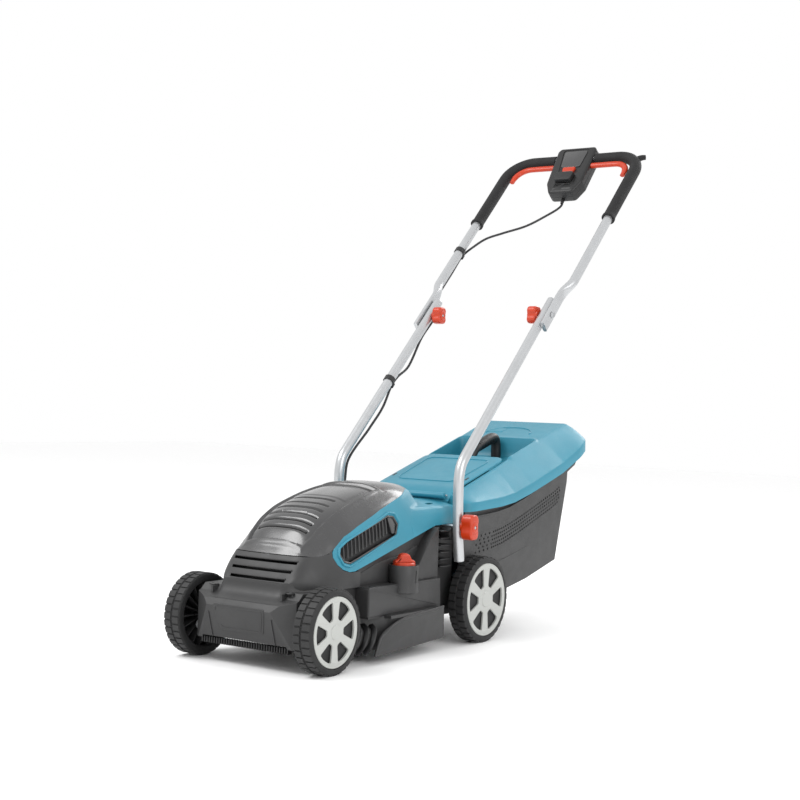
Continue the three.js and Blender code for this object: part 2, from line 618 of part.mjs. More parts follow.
// ---- Wheels: a black tyre and web with a six-spoke cap pressed into its outer face ----
const capDepth = 5.6;
const wheelSides = 24;
for (const axle of axles) {
  for (const [side, s] of sides) {
    const frame = group("wheel_" + axle.name + "_" + side, 0, axle.y, axle.z);
    const capRadius = axle.radius - 14.5;
    const treadRadius = axle.radius / Math.cos(Math.PI / wheelSides); // a flat of the tread meets the ground
    const inX = wheelInnerX;
    const outX = wheelOuterX;
    const bore = axleRadius + runningClearance;
    const profile = [
      [bore, inX + 2], [15, inX + 2], [15, outX - 14], [capRadius - 4, outX - 14], [capRadius - 4, inX],
      [treadRadius, inX], [treadRadius, outX - 4], [treadRadius - 4, outX],
      [capRadius + clearance, outX], [capRadius + clearance, outX - capDepth - 1],
      [bore, outX - capDepth - 1],
      [bore, inX + 2],
    ].map(([r, x]) => new THREE.Vector2(r, x));
    const lathe = new THREE.LatheGeometry(profile, wheelSides, Math.PI / wheelSides).rotateZ(-Math.PI / 2);
    const wheel = solid(lathe);
    add("wheel_" + axle.name + "_" + side, s > 0 ? wheel : wheel.mirror([1, 0, 0]), "rubber", frame);

    const disc = rod([outX - capDepth - 0.6, 0, 0], [outX - 0.4, 0, 0], capRadius - 0.6, 24);
    const windows = [];
    for (let i = 0; i < 6; i++) {
      const low = capRadius * 0.34;
      const high = capRadius * 0.84;
      const spoke = capRadius * 0.15;
      const wedge = outline([[low * 0.95, -(low * 0.48 - spoke * 0.45)], [high * 0.88, -high * 0.36],
        [high, 0], [high * 0.88, high * 0.36], [low * 0.95, low * 0.48 - spoke * 0.45]]);
      const geometry = new THREE.ExtrudeGeometry(wedge, { depth: 30, bevelEnabled: false });
      geometry.rotateZ((i * Math.PI) / 3 + Math.PI / 6);
      geometry.applyMatrix4(new THREE.Matrix4().makeBasis(
        new THREE.Vector3(0, 1, 0), new THREE.Vector3(0, 0, 1), new THREE.Vector3(1, 0, 0)));
      windows.push(solid(geometry.translate(outX - 15, 0, 0)));
    }
    const cap = cut(disc, ...windows, rod([outX - 20, 0, 0], [outX - 2, 0, 0], axleRadius + 1.4, 12));
    add("wheel_cap_" + axle.name + "_" + side, s > 0 ? cap : cap.mirror([1, 0, 0]), "capGrey", frame);
  }
}

// ---- Rear flap over the box mouth ----
const lidSlope = Math.tan(degrees(17.2));
const lidTop = (y) => 329 + (y - (rearAxleY + 19)) * lidSlope;
const flapHingeY = mouthY - 3;
const flapHingeZ = seatLevel + 57;
const flapFrame = group("flap", 0, flapHingeY, flapHingeZ);
const flapEndY = rearAxleY + 186;
const flapProfile = [
  [-5, -6], [3, -6], [8, lidTop(flapHingeY + 8) - flapHingeZ],
  [flapEndY - flapHingeY, lidTop(flapEndY) - flapHingeZ],
  [flapEndY - flapHingeY, lidTop(flapEndY) + 5 - flapHingeZ], [50,
  lidTop(flapHingeY + 50) + 5 - flapHingeZ],
  [30, 11.5], [-5, 4],
];
const flapOutline = roundedRectangle(-104, 104, -40, flapEndY - flapHingeY, 34);
add("rear_flap", cut(
  sideProfile(flapProfile, -104, 104).intersect(planProfile(flapOutline, -60, 200)),
  rod([-110, 0, -1], [110, 0, -1], 2.4, 10),
), "turquoise", flapFrame);
add("flap_pin", rod([-103, 0, -1], [103, 0, -1], 1.9, 10).translate(0, flapHingeY, flapHingeZ), "steel");

// ---- Grass box ----
const boxFrame = group("grass_box", 0, 0, 0);
const boxFrontY = mouthY + 6;
const rimLine = [[boxFrontY, 275], [350, 284], [400, 291], [466, 308], [608, 352], [720, 400], [760, 418]];
const boxBottomRearY = boxFrontY + boxLength - 46;
const rimAt = (y) => along(rimLine, y);
const boxRearTopY = boxBottomRearY + 66;
const boxSide = (inset) => [
  [boxFrontY - (inset ? 8 : 0), boxMouthHeight + inset], [boxFrontY + 55, 98 + inset],
  [boxFrontY + 153, 84 + inset],
  [boxFrontY + 296, 110 + inset], [boxBottomRearY - inset, 145 + inset], [boxBottomRearY + 13 - inset, 352],
  [boxRearTopY - 17 - inset, 368], [boxRearTopY - inset, 388], [boxRearTopY - inset, 520],
  [boxFrontY - (inset ? 8 : 0), 520],
];
function drafted(low, high, inset) {
  const wall = (x, z) => [x - inset, z];
  const section = [wall(low, 60), wall(high, 330), wall(high, 600)];
  const full = [...section, ...section.slice().reverse().map(([x, z]) => [-x, z])];
  const geometry = new THREE.ExtrudeGeometry(outline(full), { depth: 900, bevelEnabled: false });
  geometry.applyMatrix4(new THREE.Matrix4().makeBasis(
    new THREE.Vector3(1, 0, 0), new THREE.Vector3(0, 0, 1), new THREE.Vector3(0, -1, 0)));
  return solid(geometry.translate(0, 900, 0));
}
const rimLevel = (drop) => [
  ...rimLine.map(([y, z]) => [y, z - drop]), [900, rimAt(900) - drop], [900, 900], [boxFrontY - 20, 900],
  [boxFrontY - 20, rimLine[0][1] - drop],
];
const boxOutside = sideProfile(boxSide(0), -200, 200).intersect(drafted(boxHalfWidthLow,
  boxHalfWidthHigh, 0));
const boxInside = sideProfile(boxSide(boxWall), -200, 200)
  .intersect(drafted(boxHalfWidthLow, boxHalfWidthHigh, boxWall));
// Both front corners are notched for the rear axle's levers.
const notch = (wall) => join(...sides.map(([, s]) => box(
  ...(s > 0 ? [tunnelHalfWidth - 3 - wall, 300] : [-300, wall + 3 - tunnelHalfWidth]),
  boxFrontY - 20, rearAxle.pivotY + leverLength + 10 + wall, 0,
    rearAxle.pivotZ + leverLength + 14 + wall)));
add("box_body", cut(cut(boxOutside, notch(0)), cut(boxInside, notch(boxWall)),
  sideProfile(rimLevel(0), -300, 300)),
  "darkGrey", boxFrame);

const lidHalfWidth = boxHalfWidthHigh + lidOverhang;
const lidRearY = boxRearTopY + 20;
const lidPlan = [
  [-112, boxFrontY], [112, boxFrontY], [142, boxFrontY + 14], [lidHalfWidth - 6, boxFrontY + 110],
  [lidHalfWidth, lidRearY - 60], [lidHalfWidth - 6, lidRearY - 22], [lidHalfWidth - 26, lidRearY],
  [-lidHalfWidth + 26, lidRearY], [-lidHalfWidth + 6, lidRearY - 22], [-lidHalfWidth, lidRearY - 60],
  [-lidHalfWidth + 6, boxFrontY + 110], [-142, boxFrontY + 14],
];
const recess = { halfWidth: 100, front: rearAxleY + 128, rear: rearAxleY + 328, depth: 42 };
const lidRim = rimLine.map(([y, z]) => [y, z + clearance]);
const lidTopLine = [[900, lidTop(900)], [flapEndY + 6, lidTop(flapEndY + 6)],
  [flapEndY + 6, lidTop(flapEndY) - 5],
  [boxFrontY - 2, lidTop(boxFrontY) - 6]];
const lidSideSolid = [...lidRim, [900, rimAt(900)], ...lidTopLine];
const crownCuts = sides.map(([, s]) => sideProfile(
  [[0, lidTop(0) - 1], [900, lidTop(900) - 1], [900, 900], [0, 900]], s > 0 ? 118 : -200,
  s > 0 ? 200 : -118));
const lidBlock = cut(sideProfile(lidSideSolid, -200, 200).intersect(planProfile(lidPlan, 0, 900)),
  ...crownCuts);
const lidHollow = [
  [boxFrontY - 10, 200], [lidRearY - 16, 200], [lidRearY - 16, lidTop(lidRearY - 16) - lidWall],
  [flapEndY + 6, lidTop(flapEndY + 6) - lidWall], [flapEndY + 3, lidTop(flapEndY) - 5 - lidWall],
  [boxFrontY - 10, lidTop(boxFrontY - 10) - 6 - lidWall],
];
const lidRearInside = lidRearY - 4;
const overRim = [
  ...rimLine.filter(([y]) => y < lidRearInside), [lidRearInside, rimAt(lidRearInside)],
].map(([y, z]) => [y, z + 4]);
const insidePlan = lidPlan.map(([x, y]) => [x - Math.sign(x) * lidWall, y]);
const hollowWide = join(
  sideProfile(lidHollow, -boxHalfWidthHigh + 4, boxHalfWidthHigh - 4),
  sideProfile([...overRim, [lidRearInside, lidTop(lidRearInside) - lidWall], ...lidHollow.slice(3)],
    -200, 200)
    .intersect(planProfile(insidePlan, 0, 900)),
);
const tubBox = (gap) => box(-recess.halfWidth - gap, recess.halfWidth + gap, recess.front - gap,
  recess.rear + gap,
  100, 900);
const tubFloor = (drop) => sideProfile([[recess.front - 20,
  lidTop(recess.front - 20) - recess.depth - drop],
  [recess.rear + 20, lidTop(recess.rear + 20) - recess.depth - drop], [recess.rear + 20, 900],
  [recess.front - 20, 900]], -300, 300);
const recessTub = tubBox(lidWall).intersect(tubFloor(lidWall)).intersect(sideProfile([
  [0, lidTop(0) - 7], [flapEndY + 4, lidTop(flapEndY + 4) - 7], [flapEndY + 4, lidTop(flapEndY + 4) - 1.5],
  [900, lidTop(900) - 1.5], [900, 0], [0, 0]], -300, 300));
const lidShell = cut(join(cut(lidBlock, hollowWide), recessTub), tubBox(0).intersect(tubFloor(0)));
const indicator = { y: rearAxleY + 372, halfWidth: 22, x: -40 };
const indicatorHole = box(indicator.x - indicator.halfWidth, indicator.x + indicator.halfWidth,
  indicator.y, indicator.y + 34, 380, 600);
add("box_lid", cut(lidShell, indicatorHole), "turquoise", boxFrame);

const indicatorFrame = group("level_indicator", indicator.x, indicator.y + 31,
  lidTop(indicator.y + 31) - 2.4);
add("level_indicator", box(-indicator.halfWidth + 1, indicator.halfWidth - 1, -30, 2, -1.4, 1.4)
  .rotate([17.2, 0, 0]), "turquoise", indicatorFrame);

const boxHandleRadius = 11;
const handlePath = [
  [recess.rear - 10, -recess.depth + 1], [recess.rear - 12, -8], [recess.rear - 18, 6],
  [recess.rear - 30, 12],
  [recess.front + 104, 10], [recess.front + 88, 4], [recess.front + 80, -10],
  [recess.front + 78, -recess.depth + 1],
].map(([y, above]) => point(0, y, lidTop(y) + above));
add("box_handle", tube(new BentPath(handlePath), boxHandleRadius, 12)
  .intersect(tubBox(-1).intersect(tubFloor(-clearance))), "black", boxFrame);

// ---- Lower handle ----
const handleCos = Math.cos(degrees(handleAngle));
const handleSin = Math.sin(degrees(handleAngle));
// A point on the handle: t along it from the fold bolt, off at right angles below it.
const onHandle = (x, t, off = 0) =>
  point(x, boltY + t * handleCos + off * handleSin, boltZ + t * handleSin - off * handleCos);
const lowerTop = 50;
const lowerFrame = group("lower_handle", 0, pivotY, pivotZ);
const intoLower = (shape) => shape.translate(0, -pivotY, -pivotZ);
const bendT = (pivotY + 8 - boltY) / handleCos;
for (const [side, s] of sides) {
  const x = s * tubeX;
  const bend = onHandle(x, bendT);
  const path = new BentPath([
    point(x, pivotY + 10, handleFootHeight), point(x, pivotY + 3, pivotZ - 30),
      point(x, pivotY, pivotZ + 10),
    point(x, pivotY - 3, bend.z - 48), point(x, pivotY - 1, bend.z - 26), point(x, pivotY + 7, bend.z - 3),
    onHandle(x, bendT + 22), onHandle(x, bendT + 45), onHandle(x, lowerTop / 2 - 140),
      onHandle(x, lowerTop),
  ]);
  const holes = [
    rod([x - 20, pivotY, pivotZ], [x + 20, pivotY, pivotZ], boltRadius + runningClearance, 8),
    rod([x - 20, boltY, boltZ], [x + 20, boltY, boltZ], boltRadius - 1 + runningClearance, 8),
  ];
  add("lower_tube_" + side, intoLower(cut(tube(path, handleTubeRadius),
    tube(path, handleTubeRadius - handleTubeWall, 6)
    , ...holes)), "silver", lowerFrame);
  const plateOuter = tubeX + handleTubeRadius + clearance + 10;
  const fold = [s * (tubeX - 30), s * (plateOuter + clearance), s * (plateOuter + 5)];
  add("fold_bolt_" + side, intoLower(join(
    rod([fold[0], boltY, boltZ], [fold[1], boltY, boltZ], boltRadius - 1, 8),
    rod([fold[1], boltY, boltZ], [fold[2], boltY, boltZ], 8, 12, 5),
  )), "steel", lowerFrame);
  add("pivot_bolt_" + side, rod([s * (bodyHalfWidth - 8), pivotY, pivotZ],
    [s * (tubeX + 34), pivotY, pivotZ],
    boltRadius, 8), "steel");
}

// A wing knob, its bore along X, from x = 0 outwards.
function wingKnob(height, width, depth, bore) {
  const wing = new THREE.Shape();
  wing.moveTo(-width / 2, -height * 0.2);
  wing.quadraticCurveTo(-width * 0.34, 0, -width / 2, height * 0.2);
  wing.quadraticCurveTo(-width * 0.46, height / 2, 0, height / 2);
  wing.quadraticCurveTo(width * 0.46, height / 2, width / 2, height * 0.2);
  wing.quadraticCurveTo(width * 0.34, 0, width / 2, -height * 0.2);
  wing.quadraticCurveTo(width * 0.46, -height / 2, 0, -height / 2);
  wing.quadraticCurveTo(-width * 0.46, -height / 2, -width / 2, -height * 0.2);
  return cut(join(sideProfile(wing, 3, depth), rod([0, 0, 0], [depth - 2, 0, 0], width * 0.36, 12)),
    rod([-2, 0, 0], [depth - 5, 0, 0], bore, 8));
}
for (const [side, s] of sides) {
  const lowerKnobX = s * (tubeX + handleTubeRadius + clearance + 1);
  const lower = group("lower_knob_" + side, lowerKnobX, pivotY, pivotZ);
  const lowerKnob = wingKnob(knobHeight, knobWidth, knobDepth + 5, boltRadius + runningClearance);
  add("lower_knob_" + side, s > 0 ? lowerKnob : lowerKnob.mirror([1, 0, 0]), "orange", lower);
  const upperKnobX = s * (tubeX - handleTubeRadius - clearance - 1);
  const upper = group("upper_knob_" + side, upperKnobX, boltY, boltZ);
  const upperKnob = wingKnob(knobHeight - 12, knobWidth, knobDepth, boltRadius - 1 + runningClearance);
  add("upper_knob_" + side, s > 0 ? upperKnob.mirror([1, 0, 0]) : upperKnob, "orange", upper);
}

// ---- Upper handle: a U tube with flattened ends, grips, console and bail ----
const upperFrame = group("upper_handle", 0, boltY, boltZ);
const intoUpper = (shape) => shape.translate(0, -boltY, -boltZ);
const plateX = [tubeX + handleTubeRadius + clearance, tubeX + handleTubeRadius + clearance + 10];
const plateMid = (plateX[0] + plateX[1]) / 2;
const legTop = upperHandleLength - handleCornerRadius;
const legPoints = [[plateMid, 68], [plateMid + 2, 80], [upperHandleHalfWidth - 3, 98],
  [upperHandleHalfWidth, 112],
  [upperHandleHalfWidth, upperHandleLength - gripLength], [upperHandleHalfWidth, legTop]];
const cornerSteps = 4;
for (let i = 1; i <= cornerSteps; i++) {
  const angle = (Math.PI / 2) * (i / cornerSteps);
  legPoints.push([upperHandleHalfWidth - handleCornerRadius * (1 - Math.cos(angle)),
    legTop + handleCornerRadius * Math.sin(angle)]);
}
const consoleHalf = consoleWidth / 2;
legPoints.push([consoleHalf + 3, upperHandleLength]);
const leftLeg = legPoints.map(([x, t]) => onHandle(x, t));
const rightLeg = legPoints.map(([x, t]) => onHandle(-x, t)).reverse();
const upperPath = new BentPath([...leftLeg, ...rightLeg]);
const gripFrom = 4;
const flatEnds = sides.map(([, s]) => {
  const plate = new THREE.BoxGeometry(10, 114, 25);
  plate.translate(0, 15, 0).rotateX(degrees(handleAngle)).translate(s * plateMid, boltY, boltZ);
  return cut(solid(plate), rod([s * 140, boltY, boltZ], [s * 200, boltY, boltZ],
    boltRadius - 1 + runningClearance, 8));
});
const borePath = upperPath.section(1, upperPath.points.length - 1);
const drains = sides.map(([, s]) => rod(onHandle(s * upperHandleHalfWidth, 125).toArray(),
  onHandle(s * upperHandleHalfWidth, 125, handleTubeRadius + 3).toArray(), 2.5, 6));
const upperSolid = cut(join(tube(upperPath, handleTubeRadius), ...flatEnds),
  tube(borePath, handleTubeRadius - handleTubeWall, 6), ...drains);
add("upper_tube", intoUpper(upperSolid), "silver", upperFrame);
const gripPath = upperPath.section(gripFrom, legPoints.length);
const gripShape = cut(tube(gripPath, gripRadius, 10), tube(gripPath, handleTubeRadius + gripFit, 10));
// A half turn about the handle's own length takes the left grip to the right.
const halfTurn = [-1, 0, 0, 0, 0, 0, 1, 0, 0, 1, 0, 0, 0, 0, 0, 1];
for (const [side, s] of sides) {
  add("grip_" + side, s > 0 ? intoUpper(gripShape) : intoUpper(gripShape).transform(halfTurn), "black",
    upperFrame);
}

// The console's own frame: X across, Y down its slope from the cross bar, Z out of its face.
const barY = boltY + upperHandleLength * handleCos;
const barZ = boltZ + upperHandleLength * handleSin;
const consoleTurn = new THREE.Matrix4().makeBasis(
  new THREE.Vector3(-1, 0, 0),
  new THREE.Vector3(0, -Math.cos(degrees(consoleSlope)), -Math.sin(degrees(consoleSlope))),
  new THREE.Vector3(0, -Math.sin(degrees(consoleSlope)), Math.cos(degrees(consoleSlope))),
);
const consoleFrame = group("console", 0, barY - boltY, barZ - boltZ, upperFrame);
consoleFrame.setRotationFromMatrix(consoleTurn);
const faceLevel = 16;
const splitLevel = -3;
const above = 34; // console above the cross bar
const consolePlan = (inset) => outline([
  [-consoleHalf + inset + 4, -above + inset], [consoleHalf - inset - 4, -above + inset],
  [consoleHalf - inset, -above + 8], [consoleHalf - 7 - inset, consoleLength - above - 26],
  [consoleHalf - 28 - inset, consoleLength - above - inset], [-consoleHalf + 28 + inset,
  consoleLength - above - inset],
  [-consoleHalf + 7 + inset, consoleLength - above - 26], [-consoleHalf + inset, -above + 8],
]);
const barChannel = rod([-100, 0, 0], [100, 0, 0], handleTubeRadius + 0.6, 20);
const bailV = 27;
const bailRadius = 5.5;
const bailSlot = box(-100, 100, bailV - 12, bailV + 11, -11, 11);
const panelPocket = planProfile(roundedRectangle(-34, 34, -22, 36, 8), faceLevel - 2.4, faceLevel + 5);
const buttonWindow = box(-17, 17, 41, 59, splitLevel - 1, faceLevel + 5);
add("console_top", cut(
  planProfile(consolePlan(0), splitLevel + clearance / 2, faceLevel),
  planProfile(consolePlan(3), splitLevel - 1, faceLevel - 6).subtract(box(-60, 60, -14.5, 14.5, -30, 30)),
  barChannel, bailSlot, panelPocket, buttonWindow,
), "black", consoleFrame);
add("console_base", cut(
  planProfile(consolePlan(0), faceLevel - consoleDepth, splitLevel - clearance / 2),
  planProfile(consolePlan(3), faceLevel - consoleDepth + 3, splitLevel + 1).subtract(box(-60, 60, -14.5,
    14.5, -30, 30)),
  barChannel, bailSlot,
  rod([0, consoleLength - above - 9, -12], [0, consoleLength - above + 9, -12], cableRadius + clearance,
    12),
  rod([-26, -above - 5, -13], [-26, -above + 9, -13], 7.4, 16),
), "black", consoleFrame);
add("console_panel", planProfile(roundedRectangle(-33.6, 33.6, -21.6, 35.6, 7.6), faceLevel - 2.1,
  faceLevel - 0.4),
  "hoodGrey", consoleFrame);
const buttonFrame = group("start_button", 0, 50, faceLevel, consoleFrame);
add("start_button", planProfile(roundedRectangle(-16.2, 16.2, -8.2, 8.2, 5), -15, 2.4), "orange",
  buttonFrame);
add("mains_inlet", join(
  rod([-26, -above - 14, -13], [-26, -above + 8, -13], 7, 16),
  rod([-26, -above - 3, -13], [-26, -above - 0.4, -13], 10.5, 16),
), "black", consoleFrame);

// The bail: one bar through the console with a wing down each corner.
const bailT = upperHandleLength - bailV;
const bailCorner = handleCornerRadius - bailV;
const bailHalf = [[0, bailT], [upperHandleHalfWidth - handleCornerRadius, bailT]];
for (let i = 1; i <= 3; i++) {
  const angle = (Math.PI / 2) * (i / 3);
  bailHalf.push([upperHandleHalfWidth - handleCornerRadius + bailCorner * Math.sin(angle),
    bailT - bailCorner * (1 - Math.cos(angle))]);
}
bailHalf.push([bailHalf[4][0], bailT - bailCorner - 14]);
const bailPoints = [...bailHalf.slice(1).reverse().map(([x, t]) => onHandle(-x, t)),
  ...bailHalf.map(([x, t]) => onHandle(x, t))];
const bailPivot = onHandle(0, bailT + 14, 12);
const bailFrame = group("bail", 0, bailPivot.y - boltY, bailPivot.z - boltZ, upperFrame);
add("bail_lever", tube(new BentPath(bailPoints), bailRadius, 10)
  .translate(0, -bailPivot.y, -bailPivot.z), "orange", bailFrame);

// ---- Lead from the console to the motor, clipped to the right-hand tubes ----
const cableSides = 6;
function lead(points) {
  const curve = new THREE.CatmullRomCurve3(points, false, "centripetal");
  const steps = Math.round(curve.getLength() / (cableRadius * 8));
  const options = { steps, bevelEnabled: false, extrudePath: curve };
  return solid(new THREE.ExtrudeGeometry(ring(cableRadius, cableSides), options));
}
const under = handleTubeRadius + cableRadius + 1.2;
const upperClipT = 242;
const lowerClipT = -226;
const cableSplitT = 86;
const consoleEnd = point(0, consoleLength - above + 1.5, -12).applyMatrix4(consoleTurn).add(point(0,
  barY, barZ));
const cableUpper = [
  consoleEnd, consoleEnd.clone().add(point(0, -7, -14)), point(-18, boltY + 292, boltZ + 265),
  point(-52, boltY + 267, boltZ + 242), point(-98, boltY + 233, boltZ + 222),
    point(-132, boltY + 208, boltZ + 206),
  point(-160, boltY + 192, boltZ + 184), onHandle(-upperHandleHalfWidth + 3, upperClipT + 14, under + 0.5),
  onHandle(-upperHandleHalfWidth, upperClipT, under), onHandle(-upperHandleHalfWidth, 180, under + 1),
  onHandle(-upperHandleHalfWidth, 130, under + 1), onHandle(-upperHandleHalfWidth, cableSplitT + 1,
    under + 1),
];
const cableMiddle = [
  onHandle(-upperHandleHalfWidth, cableSplitT, under + 1), onHandle(-upperHandleHalfWidth + 2, 76,
    under + 2),
  onHandle(-tubeX - 6, 40, under + 6), onHandle(-tubeX, 0, under + 3), onHandle(-tubeX, -60, under + 1),
  onHandle(-tubeX, -150, under + 14), onHandle(-tubeX, lowerClipT + 30, under + 2),
  onHandle(-tubeX, lowerClipT, under), onHandle(-tubeX, lowerClipT - 60, under + 13),
  onHandle(-tubeX, lowerClipT - 130, under + 12), point(-tubeX, pivotY + 28, pivotZ + 120),
  point(-tubeX, pivotY + 20, pivotZ + 80), point(-tubeX, pivotY + 16, pivotZ + 52),
];
const cableLower = [
  point(-tubeX, pivotY + 15.8, pivotZ + 51), point(-tubeX, pivotY + 15.1, pivotZ + 46),
    point(-tubeX + 4, pivotY + 14.5, pivotZ + 42),
  point(-tubeX + 16, pivotY + 14, pivotZ + 48), point(-tubeX + 36, pivotY + 14, pivotZ + 60),
  point(glandX - 8, pivotY + 14, pivotZ + 62), point(glandX, pivotY + 14, pivotZ + 53),
  point(glandX, pivotY + 14, pivotZ + 40), point(glandX, pivotY + 14, pivotZ + 8),
];
add("cable_upper", intoUpper(lead(cableUpper)), "black", upperFrame);
add("cable_middle", intoLower(lead(cableMiddle)), "black", lowerFrame);
add("cable_lower", lead(cableLower), "black");
function clip(t, tubeCentreX) {
  const turn = (from, to, radius) => rod(onHandle(tubeCentreX, from).toArray(),
    onHandle(tubeCentreX, to).toArray(),
    radius, 12);
  const eye = (radius, from, to) => rod(onHandle(tubeCentreX, from, under).toArray(),
    onHandle(tubeCentreX, to, under).toArray(), radius, 10);
  return cut(join(turn(t - 6, t + 6, handleTubeRadius + 2.6), eye(cableRadius + 3, t - 5, t + 5)),
    turn(t - 9, t + 9, handleTubeRadius + 0.8), eye(cableRadius + 1.6, t - 9, t + 9));
}
add("cable_clip_upper", intoUpper(clip(upperClipT, -upperHandleHalfWidth)), "black", upperFrame);
add("cable_clip_lower", intoLower(clip(lowerClipT, -tubeX)), "black", lowerFrame);
const gland = [glandX, pivotY + 14];
add("cable_gland", cut(rod([...gland, 272], [...gland, 300], cableRadius + 3, 12, cableRadius + 1.8),
  rod([...gland, 260], [...gland, 310], cableRadius + 0.7, 12)), "black");

// ---- Origin: the middle of the bounding box, on the ground ----
const bounds = new THREE.Box3().setFromObject(mower, true);
mower.position.y = -(bounds.min.y + bounds.max.y) / 2;

export default mower;
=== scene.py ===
import json
import math

import bmesh
import bpy
from mathutils import Matrix, Vector, noise


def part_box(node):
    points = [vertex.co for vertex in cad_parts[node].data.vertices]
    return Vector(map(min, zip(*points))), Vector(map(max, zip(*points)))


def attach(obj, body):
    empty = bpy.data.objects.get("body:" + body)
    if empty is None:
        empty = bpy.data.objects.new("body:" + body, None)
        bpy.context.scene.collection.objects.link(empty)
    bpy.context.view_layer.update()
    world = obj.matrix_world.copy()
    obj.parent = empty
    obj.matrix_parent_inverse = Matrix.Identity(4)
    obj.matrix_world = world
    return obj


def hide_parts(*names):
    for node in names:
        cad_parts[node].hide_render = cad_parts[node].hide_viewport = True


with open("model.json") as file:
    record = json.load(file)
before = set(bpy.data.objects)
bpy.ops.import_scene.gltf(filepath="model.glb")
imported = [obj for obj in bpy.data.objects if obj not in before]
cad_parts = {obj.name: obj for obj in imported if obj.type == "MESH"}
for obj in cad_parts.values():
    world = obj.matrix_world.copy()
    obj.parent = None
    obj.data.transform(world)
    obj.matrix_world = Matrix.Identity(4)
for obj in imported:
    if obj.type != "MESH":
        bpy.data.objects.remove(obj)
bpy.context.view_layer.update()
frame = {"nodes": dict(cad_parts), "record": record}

scene = bpy.context.scene
blade_low, blade_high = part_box("blade")
SHAFT_Y = (blade_low.y + blade_high.y) / 2


def at(x, y, z):
    """A point given in millimetres, with y counted from the motor shaft."""
    return Vector((x / 1000, y / 1000 + SHAFT_Y, z / 1000))


# ---- Camera ----
CAMERA_FORWARD = Vector((-0.5654, 0.8248, 0.0016)).normalized()
CAMERA_ROLL = math.radians(1.95)
camera_data = bpy.data.cameras.new("camera")
camera_data.lens = 65.03
camera_data.sensor_width = 36
camera_data.clip_end = 60
camera = bpy.data.objects.new("camera", camera_data)
scene.collection.objects.link(camera)
camera.location = at(1746.3, -2367.4, 502.4)
level_right = CAMERA_FORWARD.cross(Vector((0, 0, 1))).normalized()
level_up = level_right.cross(CAMERA_FORWARD)
up = level_up * math.cos(CAMERA_ROLL) - level_right * math.sin(CAMERA_ROLL)
right = CAMERA_FORWARD.cross(up)
camera.matrix_world = Matrix.Translation(camera.location) @ Matrix(
    (right, up, -CAMERA_FORWARD)).transposed().to_4x4()
scene.camera = camera


# ---- Materials ----
ROUGH_SPREAD = 0.1
GRAIN_DEPTH = 0.0006


def look(name, colour, roughness, metallic=0.0, grain=0.0, grain_size=900.0, mottle=0.05,
         mottle_size=14.0, wear=0.0, coat=0.0):
    """A procedural finish: mottled colour, a moulded grain, uneven gloss and paler worn edges."""
    made = bpy.data.materials.new(name)
    made.use_nodes = True
    nodes, links = made.node_tree.nodes, made.node_tree.links
    shader = nodes["Principled BSDF"]
    shader.inputs["Metallic"].default_value = metallic
    shader.inputs["Coat Weight"].default_value = coat
    shader.inputs["Coat Roughness"].default_value = 0.12
    place = nodes.new("ShaderNodeTexCoord")

    def noise_node(scale, detail=4.0):
        node = nodes.new("ShaderNodeTexNoise")
        node.inputs["Scale"].default_value = scale
        node.inputs["Detail"].default_value = detail
        links.new(place.outputs["Object"], node.inputs["Vector"])
        return node.outputs["Fac"]

    ramp = nodes.new("ShaderNodeValToRGB")
    ramp.color_ramp.elements[0].position = 0.3
    ramp.color_ramp.elements[1].position = 0.7
    ramp.color_ramp.elements[0].color = (*[c * (1 - mottle) for c in colour], 1)
    ramp.color_ramp.elements[1].color = (*[min(1, c * (1 + mottle)) for c in colour], 1)
    links.new(noise_node(mottle_size), ramp.inputs["Fac"])
    colour_out = ramp.outputs["Color"]
    if wear:
        geometry = nodes.new("ShaderNodeNewGeometry")
        edge = nodes.new("ShaderNodeMapRange")
        edge.inputs["From Min"].default_value = 0.51
        edge.inputs["From Max"].default_value = 0.62
        edge.inputs["To Max"].default_value = wear
        links.new(geometry.outputs["Pointiness"], edge.inputs["Value"])
        mix = nodes.new("ShaderNodeMix")
        mix.data_type = "RGBA"
        links.new(edge.outputs["Result"], mix.inputs["Factor"])
        links.new(colour_out, mix.inputs["A"])
        mix.inputs["B"].default_value = (*[min(1, c * 1.8 + 0.03) for c in colour], 1)
        colour_out = mix.outputs["Result"]
    links.new(colour_out, shader.inputs["Base Color"])
    gloss = nodes.new("ShaderNodeMapRange")
    gloss.inputs["To Min"].default_value = max(0.02, roughness - ROUGH_SPREAD)
    gloss.inputs["To Max"].default_value = min(1, roughness + ROUGH_SPREAD)
    links.new(noise_node(mottle_size * 3), gloss.inputs["Value"])
    links.new(gloss.outputs["Result"], shader.inputs["Roughness"])
    if grain:
        bump = nodes.new("ShaderNodeBump")
        bump.inputs["Strength"].default_value = grain
        bump.inputs["Distance"].default_value = GRAIN_DEPTH
        links.new(noise_node(grain_size, 2.0), bump.inputs["Height"])
        links.new(bump.outputs["Normal"], shader.inputs["Normal"])
    return made


